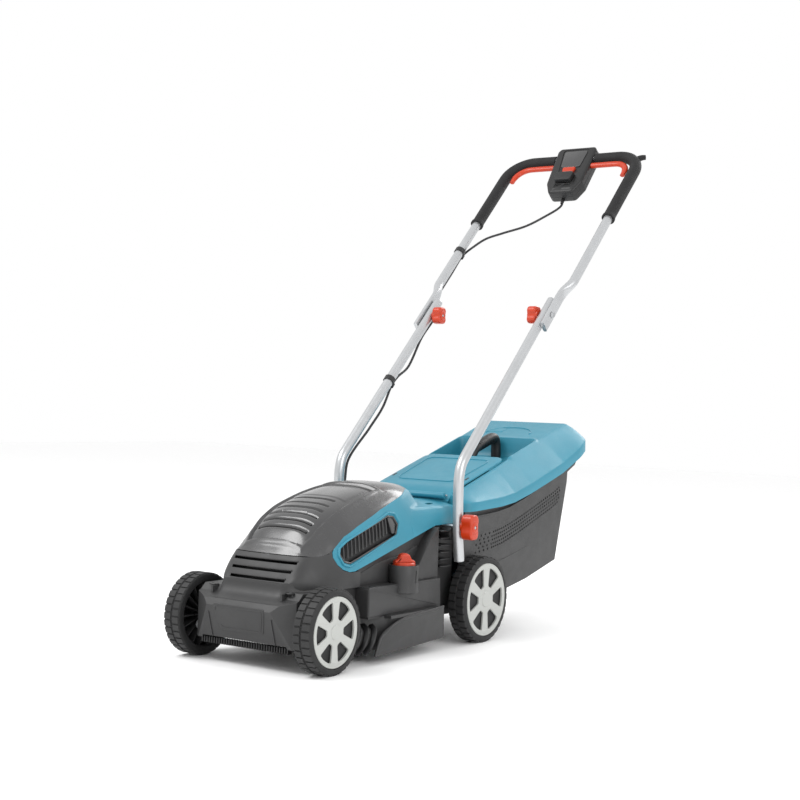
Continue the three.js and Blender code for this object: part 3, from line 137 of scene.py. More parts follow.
LOOKS = {
    "dark_plastic": look("grained_grey", (0.023, 0.023, 0.0235), 0.5, grain=0.25, mottle=0.06, wear=0.25),
    "hood_plastic": look("gloss_grey", (0.036, 0.036, 0.037), 0.26, grain=0.05, mottle=0.04, coat=0.5,
                         wear=0.1),
    "black_plastic": look("moulded_black", (0.0045, 0.0045, 0.005), 0.45, grain=0.25, mottle=0.1,
                          wear=0.2),
    "turquoise_plastic": look("moulded_turquoise", (0.022, 0.205, 0.29), 0.42, grain=0.12, mottle=0.035,
                              wear=0.15),
    "orange_plastic": look("moulded_orange", (0.46, 0.03, 0.0025), 0.34, grain=0.1, mottle=0.05,
                           wear=0.12),
    "cap_plastic": look("pale_cap", (0.41, 0.42, 0.4), 0.42, grain=0.15, mottle=0.03),
    "tyre_plastic": look("tyre_black", (0.0035, 0.0035, 0.0038), 0.6, grain=0.5, grain_size=500,
                         mottle=0.15, wear=0.3),
    "grip_foam": look("grip_foam", (0.005, 0.005, 0.0055), 0.75, grain=0.6, grain_size=1500, mottle=0.12),
    "tube_metal": look("painted_tube", (0.5, 0.51, 0.52), 0.33, metallic=0.75, grain=0.08, mottle=0.03,
                       mottle_size=30),
    "steel": look("zinc_steel", (0.42, 0.43, 0.44), 0.38, metallic=0.95, grain=0.12, mottle=0.12,
                  mottle_size=60),
    "motor_metal": look("cast_metal", (0.3, 0.31, 0.32), 0.5, metallic=0.9, grain=0.4, mottle=0.1),
    "lead_rubber": look("lead_rubber", (0.012, 0.012, 0.013), 0.5, grain=0.2, mottle=0.1),
}


def merge_flats(obj):
    """Merges the small faces that lie in one plane."""
    change = obj.modifiers.new("planar", "DECIMATE")
    change.decimate_type = "DISSOLVE"
    change.angle_limit = math.radians(1.5)


def round_edges(obj, width, segments, limit):
    """Rounds the edges sharper than the limit, to a width in millimetres."""
    change = obj.modifiers.new("rounding", "BEVEL")
    change.width = width / 1000
    change.segments = segments
    change.limit_method = "ANGLE"
    change.angle_limit = math.radians(limit)


slot_of = {s["node"]: s["material_slot"] for s in frame["record"]["subparts"]}
for node, obj in frame["nodes"].items():
    obj.data.materials.clear()
    obj.data.materials.append(LOOKS[slot_of[node]])
    merge_flats(obj)
    round_edges(obj, 1.2, 2, 35)

# ---- Studio ----
floor_mesh = bpy.data.meshes.new("floor")
floor_mesh.from_pydata([(-9, -9, 0), (9, -9, 0), (9, 9, 0), (-9, 9, 0)], [], [(0, 1, 2, 3)])
floor = bpy.data.objects.new("floor", floor_mesh)
scene.collection.objects.link(floor)
floor.data.materials.append(look("floor_look", (0.97, 0.97, 0.97), 0.7, grain=0.02, mottle=0.01))
world = bpy.data.worlds.new("studio")
scene.world = world
scene.view_settings.view_transform = "Standard"
world.use_nodes = True
world.node_tree.nodes["Background"].inputs["Color"].default_value = (1, 1, 1, 1)
world.node_tree.nodes["Background"].inputs["Strength"].default_value = 1.0


def area_light(name, place, target, size, power):
    data = bpy.data.lights.new(name, "AREA")
    data.shape = "RECTANGLE"
    data.size, data.size_y = size
    data.energy = power
    obj = bpy.data.objects.new(name, data)
    obj.location = place
    obj.rotation_euler = (Vector(target) - Vector(place)).to_track_quat("-Z", "Y").to_euler()
    scene.collection.objects.link(obj)


area_light("key", (-1.6, -2.4, 3.4), (0, -0.1, 0.3), (2.2, 1.6), 90)
area_light("fill", (3.2, -1.2, 1.8), (0, 0, 0.3), (2.0, 2.0), 38)
area_light("back", (0.4, 3.2, 2.6), (0, 0, 0.4), (2.4, 1.2), 50)


# ---- Mesh helpers ----
SKIN = 2.6
BOX_FACES = [(0, 1, 3, 2), (4, 6, 7, 5), (0, 4, 5, 1), (2, 3, 7, 6), (0, 2, 6, 4), (1, 5, 7, 3)]


def shade(mesh, angle=32):
    """Smooth faces, with edges over the angle kept crisp."""
    form = bmesh.new()
    form.from_mesh(mesh)
    bmesh.ops.recalc_face_normals(form, faces=form.faces)
    for face in form.faces:
        face.smooth = True
    for edge in form.edges:
        edge.smooth = len(edge.link_faces) != 2 or edge.calc_face_angle(0) < math.radians(angle)
    form.to_mesh(mesh)
    form.free()


def new_object(name, verts, faces, angle=32):
    mesh = bpy.data.meshes.new(name)
    mesh.from_pydata([tuple(v) for v in verts], [], faces)
    mesh.validate()
    shade(mesh, angle)
    obj = bpy.data.objects.new(name, mesh)
    scene.collection.objects.link(obj)
    return obj


def settle(obj, body, slot, replaces=(), finish=None):
    """Gives a finished piece its look and its body."""
    obj.data.materials.clear()
    obj.data.materials.append(finish or LOOKS[slot])
    if body:
        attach(obj, body)
    if replaces:
        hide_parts(*replaces)
    return obj


def bake(obj, angle=32):
    """Turns an object with its modifiers into a plain mesh."""
    bpy.context.view_layer.update()
    graph = bpy.context.evaluated_depsgraph_get()
    mesh = bpy.data.meshes.new_from_object(obj.evaluated_get(graph))
    name = obj.name
    made = bpy.data.objects.new(name + ".made", mesh)
    made.matrix_world = obj.matrix_world
    bpy.data.objects.remove(obj)
    made.name = name
    scene.collection.objects.link(made)
    shade(mesh, angle)
    return made


def boolean(obj, tools, operation="DIFFERENCE", angle=32):
    for tool in tools:
        change = obj.modifiers.new("boolean", "BOOLEAN")
        change.operation = operation
        change.object = tool
        change.solver = "EXACT"
    made = bake(obj, angle)
    for tool in tools:
        bpy.data.objects.remove(tool)
    return made


def bevel(obj, width):
    round_edges(obj, width, 2, 40)
    return bake(obj)


def thicken(obj, angle):
    """Gives a moulded skin the wall behind it."""
    wall = obj.modifiers.new("wall", "SOLIDIFY")
    wall.thickness = SKIN / 1000
    wall.offset = -1
    return bake(obj, angle)


def merge_points(mesh, angle):
    """Joins the points that lie on one another."""
    form = bmesh.new()
    form.from_mesh(mesh)
    bmesh.ops.remove_doubles(form, verts=form.verts, dist=1e-6)
    bmesh.ops.dissolve_degenerate(form, edges=form.edges, dist=1e-7)
    form.to_mesh(mesh)
    form.free()
    shade(mesh, angle)


def ring_faces(rings, count, caps=True):
    """The faces between rings of points that follow one another, and their two ends."""
    faces = []
    for i in range(rings - 1):
        for j in range(count):
            n = (j + 1) % count
            faces.append((i * count + j, i * count + n, (i + 1) * count + n, (i + 1) * count + j))
    if caps:
        faces.append(tuple(reversed(range(count))))
        faces.append(tuple((rings - 1) * count + j for j in range(count)))
    return faces


def grid_faces(rows, cols):
    """The faces of a grid of points, given row by row."""
    starts = [i * cols + j for i in range(rows - 1) for j in range(cols - 1)]
    return [(a, a + 1, a + cols + 1, a + cols) for a in starts]


def joined(name, objects, angle=32):
    """Several meshes as one piece."""
    form = bmesh.new()
    for obj in objects:
        mesh = obj.data
        mesh.transform(obj.matrix_world)
        form.from_mesh(mesh)
        bpy.data.objects.remove(obj)
    mesh = bpy.data.meshes.new(name)
    form.to_mesh(mesh)
    form.free()
    obj = bpy.data.objects.new(name, mesh)
    scene.collection.objects.link(obj)
    shade(mesh, angle)
    return obj


def lathe(name, profile, centre, axis, segments=64, angle=32):
    """Turns (radius, along) points about an axis through centre; the profile closes on itself."""
    axis = Vector(axis).normalized()
    side = axis.orthogonal().normalized()
    if abs(axis.x) > 0.9:
        side = Vector((0, 0, 1))
    other = axis.cross(side)
    verts = []
    for i in range(segments):
        turn = 2 * math.pi * i / segments
        out = side * math.cos(turn) + other * math.sin(turn)
        for radius, along in profile:
            verts.append(centre + out * (radius / 1000) + axis * (along / 1000))
    count = len(profile)
    faces = []
    for i in range(segments):
        j = (i + 1) % segments
        for k in range(count):
            n = (k + 1) % count
            faces.append((i * count + k, j * count + k, j * count + n, i * count + n))
    obj = new_object(name, verts, faces, angle)
    merge_points(obj.data, angle)
    return obj


def smooth_line(points, spacing):
    """A centripetal Catmull-Rom line through the points, sampled evenly, the spacing in millimetres."""
    pts = [Vector(p) for p in points]
    pts = [pts[0] * 2 - pts[1], *pts, pts[-1] * 2 - pts[-2]]
    out = []
    for i in range(1, len(pts) - 2):
        p0, p1, p2, p3 = pts[i - 1:i + 3]
        t1 = max(1e-6, (p1 - p0).length) ** 0.5
        t2 = t1 + max(1e-6, (p2 - p1).length) ** 0.5
        t3 = t2 + max(1e-6, (p3 - p2).length) ** 0.5
        count = max(2, int((p2 - p1).length / (spacing / 1000)))
        for k in range(count):
            t = t1 + (t2 - t1) * k / count
            a1 = p0 * ((t1 - t) / t1) + p1 * (t / t1)
            a2 = p1 * ((t2 - t) / (t2 - t1)) + p2 * ((t - t1) / (t2 - t1))
            a3 = p2 * ((t3 - t) / (t3 - t2)) + p3 * ((t - t2) / (t3 - t2))
            b1 = a1 * ((t2 - t) / t2) + a2 * (t / t2)
            b2 = a2 * ((t3 - t) / (t3 - t1)) + a3 * ((t - t1) / (t3 - t1))
            out.append(b1 * ((t2 - t) / (t2 - t1)) + b2 * ((t - t1) / (t2 - t1)))
    out.append(pts[-2])
    return out


def sweep(name, path, section, angle=40, scale=None):
    """Sweeps a closed (a, b) section in millimetres along a path, with a frame that doesn't twist."""
    tangents = []
    for i in range(len(path)):
        ahead = path[min(i + 1, len(path) - 1)] - path[max(i - 1, 0)]
        tangents.append(ahead.normalized())
    normal = tangents[0].orthogonal().normalized()
    if abs(tangents[0].x) < 0.95:
        normal = (Vector((1, 0, 0)) - tangents[0] * tangents[0].x).normalized()
    verts = []
    for i, (p, t) in enumerate(zip(path, tangents)):
        if i:
            normal = (normal - t * normal.dot(t)).normalized()
        other = t.cross(normal)
        k = scale(i / (len(path) - 1)) if scale else 1
        verts += [p + normal * (a * k / 1000) + other * (b * k / 1000) for a, b in section]
    return new_object(name, verts, ring_faces(len(path), len(section)), angle)


def circle(radius, count=24):
    return [(radius * math.cos(2 * math.pi * i / count), radius * math.sin(2 * math.pi * i / count))
            for i in range(count)]


def oval(radius, wide, high=1, count=12):
    """A circle stretched across and upwards."""
    return [(a * wide, b * high) for a, b in circle(radius, count)]


def rounded(points, radius, count=6):
    """A closed (a, b) outline with rounded corners."""
    pts = [Vector((*p, 0)) for p in points]
    out = []
    for i, b in enumerate(pts):
        a, c = pts[i - 1], pts[(i + 1) % len(pts)]
        one, two = (a - b).normalized(), (c - b).normalized()
        half = one.angle(two) / 2
        reach = min(radius / max(0.05, math.tan(half)), (a - b).length * 0.45, (c - b).length * 0.45)
        start, end = b + one * reach, b + two * reach
        for k in range(count + 1):
            t = k / count
            p = start * (1 - t) ** 2 + b * 2 * t * (1 - t) + end * t ** 2
            out.append((p.x, p.y))
    return out


def inset_loop(points, by):
    """Moves each point of a closed counter-clockwise outline inwards."""
    pts = [Vector(p) for p in points]
    area = sum(a.x * b.y - b.x * a.y for a, b in zip(pts, pts[1:] + pts[:1]))
    sign = 1 if area > 0 else -1
    out = []
    for i, p in enumerate(pts):
        ahead = (pts[(i + 1) % len(pts)] - pts[i - 1])
        if ahead.length < 1e-9:
            out.append(tuple(p))
            continue
        ahead.normalize()
        out.append((p.x - ahead.y * sign * by, p.y + ahead.x * sign * by))
    return out


def plate(name, points, place, low, high, edge=1.2, angle=32, steps=3):
    """A plate with rounded rims. The outline's (a, b) and the height c go through place(a, b, c)."""
    levels = []
    for k in range(steps + 1):
        turn = math.pi / 2 * k / steps
        levels.append((edge * (1 - math.sin(turn)), low + edge * (1 - math.cos(turn))))
    levels += [(inset, high + low - level) for inset, level in reversed(levels)]
    verts = []
    for inset, level in levels:
        ring = inset_loop(points, inset) if inset else points
        verts += [place(a, b, level) for a, b in ring]
    return new_object(name, verts, ring_faces(len(levels), len(points)), angle)


def box_tool(name, x, y, z):
    verts = [at(a, b, c) for a in x for b in y for c in z]
    return new_object(name, verts, BOX_FACES)


def interpolate(line, key):
    """The value at a key on a line of (key, value) points, straight between them."""
    if key <= line[0][0]:
        return line[0][1]
    for (a, va), (b, vb) in zip(line, line[1:]):
        if key <= b:
            t = (key - a) / (b - a)
            return va + (vb - va) * t
    return line[-1][1]


def smooth_value(line, key):
    """The value at a key on a curve of (key, value) points, which keeps to their rise and fall."""
    keys = [a for a, _ in line]
    values = [b for _, b in line]
    if key <= keys[0]:
        return values[0]
    if key >= keys[-1]:
        return values[-1]
    i = max(k for k in range(len(keys) - 1) if keys[k] <= key)

    def slope(j):
        if j == 0:
            return (values[1] - values[0]) / (keys[1] - keys[0])
        if j == len(keys) - 1:
            return (values[-1] - values[-2]) / (keys[-1] - keys[-2])
        a = (values[j] - values[j - 1]) / (keys[j] - keys[j - 1])
        b = (values[j + 1] - values[j]) / (keys[j + 1] - keys[j])
        return 0 if a * b < 0 else 2 * a * b / (a + b) if a + b else 0

    h = keys[i + 1] - keys[i]
    t = (key - keys[i]) / h
    m0, m1 = slope(i) * h, slope(i + 1) * h
    return (values[i] * (2 * t ** 3 - 3 * t ** 2 + 1) + m0 * (t ** 3 - 2 * t ** 2 + t)
            + values[i + 1] * (3 * t ** 2 - 2 * t ** 3) + m1 * (t ** 3 - t ** 2))


def step(edge, width, value):
    """0 below the edge, 1 above it, smoothly over the width."""
    t = min(1, max(0, (value - edge) / width + 0.5))
    return t * t * (3 - 2 * t)


SIDES = (("left", 1), ("right", -1))

# ---- Body form, shared by the hood, cowl and cover ----
CROWN = [(-286, 149), (-268, 177), (-249, 206), (-231, 229), (-205, 262), (-170, 290), (-130, 307),
         (-71, 323), (-10, 333), (60, 338), (116, 334)]
EDGE_X = [(-286, 58), (-268, 75), (-249, 82), (-231, 90), (-205, 103), (-170, 109), (-130, 110),
          (-71, 110), (-10, 105), (60, 94), (116, 72)]
EDGE_Z = [(-286, 148), (-268, 170), (-249, 196), (-231, 208), (-205, 211), (-170, 229), (-130, 253),
          (-71, 274), (-10, 296), (60, 314), (116, 321)]
SIDE_X = [(-286, 66), (-268, 88), (-249, 103), (-231, 113), (-205, 120), (-170, 125), (-130, 127),
          (-71, 128), (116, 128)]
BODY_WALL = 2.8
CROWN_POWER = 3.2
COVER_SLOPE = math.tan(math.radians(15))


def cover_edge(y):
    """The height of the turquoise cover's lower edge."""
    return min(252, 175 + (y + 144) * COVER_SLOPE)


def crown_height(y, share):
    """The top's height at y, at a share of its half-width."""
    crown, edge = smooth_value(CROWN, y), smooth_value(EDGE_Z, y)
    return crown - (crown - edge) * share ** CROWN_POWER


def bisect(low, high, passed):
    """Where a test turns from false to true between low and high."""
    for _ in range(30):
        middle = (low + high) / 2
        low, high = (low, middle) if passed(middle) else (middle, high)
    return high


def front_edge(share):
    """The y where the hood meets the cowl's seam, at a share of its width."""
    return bisect(-286, -190, lambda y: crown_height(y, abs(share)) >= 209)


def solve_front(x, z):
    """The y where the front of the body form reaches a height, at x."""
    return bisect(-286, -150, lambda y: crown_height(y, min(1, abs(x) / smooth_value(EDGE_X, y))) >= z)


def body_half(y, inset, crown, edge_x, edge_z, side_x):
    """Half a section from the crown to the base."""
    half = []
    for i in range(15):
        share = i / 14
        drop = (crown - edge_z) * share ** CROWN_POWER
        half.append(((edge_x - inset) * share, crown - drop - inset * (1 - share * 0.6)))
    side = side_x - inset
    low = min(cover_edge(max(y, -200)), edge_z - 1)
    ex, ez = half[-1]
    for t in (0.12, 0.3, 0.5, 0.7, 0.85, 1):
        bulge = math.sin(math.pi * t) * 3.0
        half.append((ex + (side - ex) * t + bulge, ez + (low - ez) * t + bulge * 0.4))
    half.append((side + 0.5, low - 25 if low > 175 else low - 8))
    half.append((side, 146 - (6 if inset else 0)))
    return half


def body_loft(name, ys, inset, tables):
    rings = []
    for i, y in enumerate(ys):
        half = body_half(y, inset, *[smooth_value(table, y) for table in tables])
        place = y + (inset if i == 0 else -inset if i == len(ys) - 1 else 0)
        rings.append([at(x, place, z) for x, z in half + [(-x, z) for x, z in reversed(half[1:])]])
    verts = [v for ring in rings for v in ring]
    return new_object(name, verts, ring_faces(len(rings), len(rings[0])), 60)


HOOD_TABLES = (CROWN, EDGE_X, EDGE_Z, SIDE_X)
REAR_TABLES = ([(60, 299), (120, 300), (170, 299), (214, 299)],
               [(60, 104), (120, 112), (170, 120), (214, 124)],
               [(60, 286), (120, 287), (170, 288), (214, 289)], [(60, 128), (214, 128)])
HOOD_YS = [-286, -280, -274, -268, -262, -256, -249, -240, -231, -222, -213, -205, -196, -187, -178,
           *range(-170, -130, 10), *range(-130, -85, 15), -85, -71, *range(-55, -10, 15), *range(-10, 91, 20),
           105, 116]
REAR_YS = [*range(60, 196, 15), 205, 214]
SEAM = [(-330, 208), (-231, 208), (-213, 209), (-196, 212), (-175, 226), (-151, 243), (-112, 260),
        (-71, 275), (-30, 290), (18, 304), (71, 317)]


def prism(name, points, place, levels):
    """An outline drawn out between two levels, its points put in place with the level."""
    verts = [place(a, b, level) for level in levels for a, b in points]
    return new_object(name, verts, ring_faces(2, len(points)))


def side_prism(name, points, x0, x1):
    """A (y, z) outline drawn out along x."""
    return prism(name, points, lambda y, z, x: at(x, y, z), (x0, x1))


# ---- Hood: a height field with its raised border, recessed panel and louvres ----
SLATS = (-208, -193, -176, -157, -136, -112)
LOUVRE_LENGTH, LOUVRE_DEPTH, LOUVRE_TAPER = 8, 6.5, 2.5
PANEL_DEPTH, BORDER_HEIGHT = 5.5, 2.2
HOOD_ROWS, HOOD_COLUMNS, HOOD_REAR = 216, 60, 114.8


def border_half(y):
    """The half-width of the hood's sunk panel."""
    return smooth_value([(-231, 62), (-205, 72), (-150, 76), (-60, 74), (0, 68)], y)


def hood_height(x, y):
    """The hood's surface, in millimetres."""
    share = min(1, abs(x) / smooth_value(EDGE_X, y))
    z = crown_height(y, share)
    edge = max(0, share - 0.93) / 0.07
    z -= 1.6 * edge ** 2
    # The raised border follows the hood's edge, and the panel inside it is sunk.
    border_x = border_half(y)
    inside = min(border_x - abs(x), (y + 226) * 1.1, 4 - y)
    sunk = PANEL_DEPTH * step(0, 5, inside)
    ridge = BORDER_HEIGHT * step(-9, 6, inside) * (1 - step(-1, 5, inside))
    z += ridge - sunk
    if inside > 7:
        for i, slat in enumerate(SLATS):
            half = border_x - 12 - i * LOUVRE_TAPER
            local = (y - slat) / LOUVRE_LENGTH
            if abs(x) < half and 0 <= local < 1:
                z -= LOUVRE_DEPTH * local ** 1.4 * step(0, 5, half - abs(x))
        if y > -96:
            z += 1.2 * step(-92, 4, y) * (1 - step(-8, 5, y)) * step(0, 5, border_x - 11 - abs(x))
    return z


def build_hood():
    across = [i / HOOD_COLUMNS for i in range(-HOOD_COLUMNS, HOOD_COLUMNS + 1)]
    fronts = [front_edge(share) for share in across]
    verts = []
    for k in range(HOOD_ROWS + 1):
        for share, front in zip(across, fronts):
            y = front + (HOOD_REAR - front) * k / HOOD_ROWS
            x = smooth_value(EDGE_X, y) * share
            verts.append(at(x, y, hood_height(x, y)))
    obj = thicken(new_object("hood", verts, grid_faces(HOOD_ROWS + 1, len(across)), 50), 50)
    settle(obj, "deck", "hood_plastic", ("hood_top", "hood_grille"))
    # Black strips laid in the deep end of each louvre: painted shade standing in for the dark inside of the
    # slots.
    for i, slat in enumerate(SLATS):
        y = slat + 7
        half = border_half(slat) - 15 - i * LOUVRE_TAPER
        line = [at(x, y, hood_height(x, y) + 1.4) for x in (half * k / 12 for k in range(-12, 13))]
        settle(sweep(f"hood_slot_{i}", line, circle(1.9, 12), angle=60), "deck", "black_plastic")


build_hood()

COWL_SLOTS = ((164, 66), (180, 72), (196, 76))
SLOT_HALF = 2.6
COWL_REAR, COWL_FOOT = -120, 145.5


def build_cowl():
    obj = boolean(body_loft("cowl", HOOD_YS, 0, HOOD_TABLES),
                  [body_loft("cowl_in", HOOD_YS, BODY_WALL, HOOD_TABLES)], angle=45)
    top = [(y, z - 0.5) for y, z in SEAM[:6]]
    region = [(SEAM[0][0], COWL_FOOT), *top, (COWL_REAR, interpolate(SEAM, COWL_REAR) - 0.5),
              (COWL_REAR, COWL_FOOT)]
    obj = boolean(obj, [side_prism("cowl_region", region, -200, 200)], "INTERSECT", 45)
    front_of_cover = [(-136, 176.5), (-150, 176), (-170, 181), (-183, 192), (-189.5, 206), (-187, 216),
                      (-181, 222.5), (-168, 232), (-150, 254), (-100, 290), (-60, 330), (0, 330), (0, 176)]
    obj = boolean(obj, [side_prism("cowl_cover", front_of_cover, -200, 200)], angle=45)
    slots = [box_tool("slot", (-half, half), (-330, -222), (z - SLOT_HALF, z + SLOT_HALF))
             for z, half in COWL_SLOTS]
    settle(boolean(obj, slots, angle=45), "deck", "dark_plastic", ("front_cowl",))
    # A lip along the top of each slot.
    for i, (slot_z, half) in enumerate(COWL_SLOTS):
        z = slot_z + SLOT_HALF + 0.8
        line = [at(x, solve_front(x, z) - 0.6, z) for x in (half * k / 20 for k in range(-20, 21))]
        settle(sweep(f"cowl_lip_{i}", line, circle(1.7, 10)), "deck", "dark_plastic")


build_cowl()

COVER_OUTLINE = [(-136, 177.5), *[(y, cover_edge(y) + 0.4) for y in range(-120, 140, 20)], (139, 251),
                 (216, 252.4), (216, 400), (117.2, 400), (117.2, 326.6),
                 *[(y, z - 0.5) for y, z in reversed(SEAM[4:])],
                 (-181, 221), (-186.5, 214), (-188.5, 206), (-183, 193), (-170, 182.5), (-152, 177)]
VENT = [(-174, 210), (-168, 223), (-148, 234), (-13, 278), (6, 276), (15, 260), (2, 238), (-150, 191),
        (-166, 195)]
VENT_OUTLINE = rounded(VENT, 6, 4)
KEYHOLE_X = 96


def build_cover():
    outer = boolean(body_loft("cover", HOOD_YS, 0, HOOD_TABLES),
                    [body_loft("cover_rear", REAR_YS, 0, REAR_TABLES)], "UNION", 45)
    outer = boolean(outer, [body_loft("cover_in", HOOD_YS, BODY_WALL, HOOD_TABLES),
                            body_loft("cover_rear_in", REAR_YS, BODY_WALL, REAR_TABLES)], angle=45)
    obj = boolean(outer, [side_prism("cover_region", COVER_OUTLINE, -200, 200)], "INTERSECT", 45)
    cuts = [side_prism("vent_cut", VENT_OUTLINE, s * 60, s * 200) for _, s in SIDES]
    cuts.append(box_tool("hood_gap", (-60, 60), (-300, 40), (140, 400)))
    for _, s in SIDES:
        x0, x1 = s * KEYHOLE_X - 5, s * KEYHOLE_X + 5
        keyhole = rounded([(x0, 148), (x1, 148), (x1, 172), (x0, 172)], 4.5)
        cuts.append(prism("keyhole", keyhole, at, (260, 320)))
    lead_hole = [(0, -60), (6.2, -60), (6.2, 60), (0, 60)]
    cuts.append(lathe("lead_hole", lead_hole, at(-102, 196, 285), (0, 0, 1), 24))
    settle(boolean(obj, cuts, angle=45), "deck", "turquoise_plastic", ("body_cover",))


build_cover()

# ---- Wheels ----
AXLES = {"front": (-258, 80), "rear": (271, 91)}
WHEEL_IN, WHEEL_OUT = 137, 177.5
TREAD_DEPTH = 2.4
TREAD_BLOCKS, BLOCK_SHARE, BLOCK_CHAMFER = 34, 0.84, 0.9
RIM_RIBS = 18
SPOKES = 6


def wheel_point(middle, s, radius, turn, x):
    """A point on a wheel: its radius and turn about the axle, and how far out it stands."""
    return middle + Vector((s * x / 1000, radius * math.cos(turn) / 1000, radius * math.sin(turn) / 1000))


def tread_blocks(middle, s, radius):
    """Two rows of blocks round the tyre, the outer row half a block on from the inner."""
    verts, faces = [], []
    base_r, top_r = radius - TREAD_DEPTH - 0.6, radius - 0.4
    for x0, x1, shift in ((WHEEL_IN + 1.2, WHEEL_IN + 17.5, 0.0), (WHEEL_IN + 20.5, WHEEL_OUT - 2.5, 0.5)):
        for i in range(TREAD_BLOCKS):
            start = 2 * math.pi * (i + shift) / TREAD_BLOCKS
            span = 2 * math.pi * BLOCK_SHARE / TREAD_BLOCKS
            base = len(verts)
            for k in range(4):
                turn, top = start + span * k / 3, start + 0.008 + (span - 0.016) * k / 3
                verts += [wheel_point(middle, s, base_r, turn, x0),
                          wheel_point(middle, s, top_r, top, x0 + BLOCK_CHAMFER),
                          wheel_point(middle, s, top_r, top, x1 - BLOCK_CHAMFER),
                          wheel_point(middle, s, base_r, turn, x1)]
            faces += [tuple(base + j for j in face) for face in ring_faces(4, 4)]
    return new_object("tread", verts, faces, 25)


def flat_curve(name, loops, depth, edge, place):
    """A plate with holes: the first loop is its rim and the others are cut from it."""
    data = bpy.data.curves.new(name, "CURVE")
    data.dimensions = "2D"
    data.fill_mode = "BOTH"
    data.extrude = depth / 2000 - edge / 1000
    data.bevel_depth = edge / 1000
    data.bevel_resolution = 3
    data.offset = -edge / 1000
    for loop in loops:
        spline = data.splines.new("POLY")
        spline.points.add(len(loop) - 1)
        for point, (a, b) in zip(spline.points, loop):
            point.co = (a / 1000, b / 1000, 0, 1)
        spline.use_cyclic_u = True
    obj = bpy.data.objects.new(name, data)
    scene.collection.objects.link(obj)
    made = bake(obj, 30)
    for vertex in made.data.vertices:
        vertex.co = place(*[c * 1000 for c in vertex.co])
    merge_points(made.data, 30)
    return made


def build_wheel(axle, side, s):
    y, radius = AXLES[axle]
    middle = at(0, y, radius)
    body = f"wheel_{axle[0]}{side[0]}"
    cap_radius = radius - 14.5
    out, inn = WHEEL_OUT, WHEEL_IN
    core = radius - TREAD_DEPTH
    profile = [(7, inn + 1), (16, inn + 1), (17, inn + 2), (17, out - 14), (cap_radius - 5, out - 14),
               (cap_radius - 4, inn + 3), (cap_radius - 1, inn + 0.5), (core - 3, inn),
               (core - 0.8, inn + 0.8), (core, inn + 2.5), (core, inn + 17.5), (core - 0.9, inn + 19),
               (core, inn + 20.5), (core, out - 5), (core - 1, out - 2.6), (core - 4, out - 0.8),
               (cap_radius + 5, out - 0.3), (cap_radius + 3.2, out), (cap_radius + 1.4, out - 0.4),
               (cap_radius + 0.6, out - 2), (cap_radius + 0.4, out - 6.4), (7, out - 6.4)]
    parts = [lathe("core", [(r, s * x) for r, x in profile], middle, (1, 0, 0), 96, 30),
             tread_blocks(middle, s, radius)]
    for i in range(RIM_RIBS):
        turn = 2 * math.pi * i / RIM_RIBS
        verts = [wheel_point(middle, s, r, turn + wide / r, x)
                 for r in (15, cap_radius - 3) for wide in (-1.1, 1.1) for x in (inn + 5, out - 13)]
        parts.append(new_object("rib", verts, BOX_FACES))
    settle(joined(f"tyre_{axle}_{side}", parts, 28), body, "tyre_plastic", (f"wheel_{axle}_{side}",))

    low, high, foot = cap_radius * 0.37, cap_radius * 0.865, cap_radius * 0.085
    arc = [math.radians(19.5) * k / 2 for k in range(-2, 3)]
    corners = [(low, -foot), *[(high * math.cos(a), high * math.sin(a)) for a in arc], (low, foot)]
    window = rounded(corners, 4.5, 4)
    loops = [circle(cap_radius, 96)]
    for i in range(SPOKES):
        turn = 2 * math.pi * i / SPOKES
        loops.append([(a * math.cos(turn) - b * math.sin(turn), a * math.sin(turn) + b * math.cos(turn))
                      for a, b in window])

    def place(a, b, c):
        # The spokes dip a little between the hub and the rim.
        r = math.hypot(a, b) / cap_radius
        dish = 1.6 * math.sin(math.pi * min(1, max(0, (r - 0.2) / 0.75)))
        return middle + Vector((s * (out - 3.2 + c - dish * (c > 0)) / 1000, a / 1000, b / 1000))

    disc = flat_curve("cap", loops, 5.4, 0.9, place)
    hub_profile = [(0, out - 5), (cap_radius * 0.21, out - 5), (cap_radius * 0.21, out - 1.6),
                   (cap_radius * 0.195, out - 0.5), (cap_radius * 0.15, out - 0.2), (0, out - 0.1)]
    hub = lathe("hub", [(r, s * x) for r, x in hub_profile], middle, (1, 0, 0), 48)
    ring_profile = [(cap_radius - 3.6, out - 2.4), (cap_radius - 3.2, out - 0.6), (cap_radius - 1.6, out),
                    (cap_radius - 0.4, out - 0.6), (cap_radius, out - 2.4)]
    ring = lathe("ring", [(r, s * x) for r, x in ring_profile], middle, (1, 0, 0), 96)
    cap = joined(f"cap_{axle}_{side}", [disc, hub, ring], 30)
    settle(cap, body, "cap_plastic", (f"wheel_cap_{axle}_{side}",))


for axle_name in AXLES:
    for side_name, sign in SIDES:
        build_wheel(axle_name, side_name, sign)

# ---- Handle ----
BOLT_Y, BOLT_Z = 520, 712
PIVOT_Y, PIVOT_Z = 182, 249
TUBE_X, LEG_X = 155, 184.5
TUBE_R = 11
UPPER_LENGTH, CORNER_R = 605, 65
COS45 = math.sqrt(0.5)


def on_handle(x, t, off=0):
    """A point t along the handle from the fold bolt, off at right angles below it."""
    return at(x, BOLT_Y + (t + off) * COS45, BOLT_Z + (t - off) * COS45)


def corner_arc():
    """The upper tube's rounded corner, as (across, along) points after its start."""
    turns = [math.pi / 2 * i / 12 for i in range(1, 13)]
    return [(LEG_X - CORNER_R * (1 - math.cos(turn)), UPPER_LENGTH - CORNER_R + CORNER_R * math.sin(turn))
            for turn in turns]


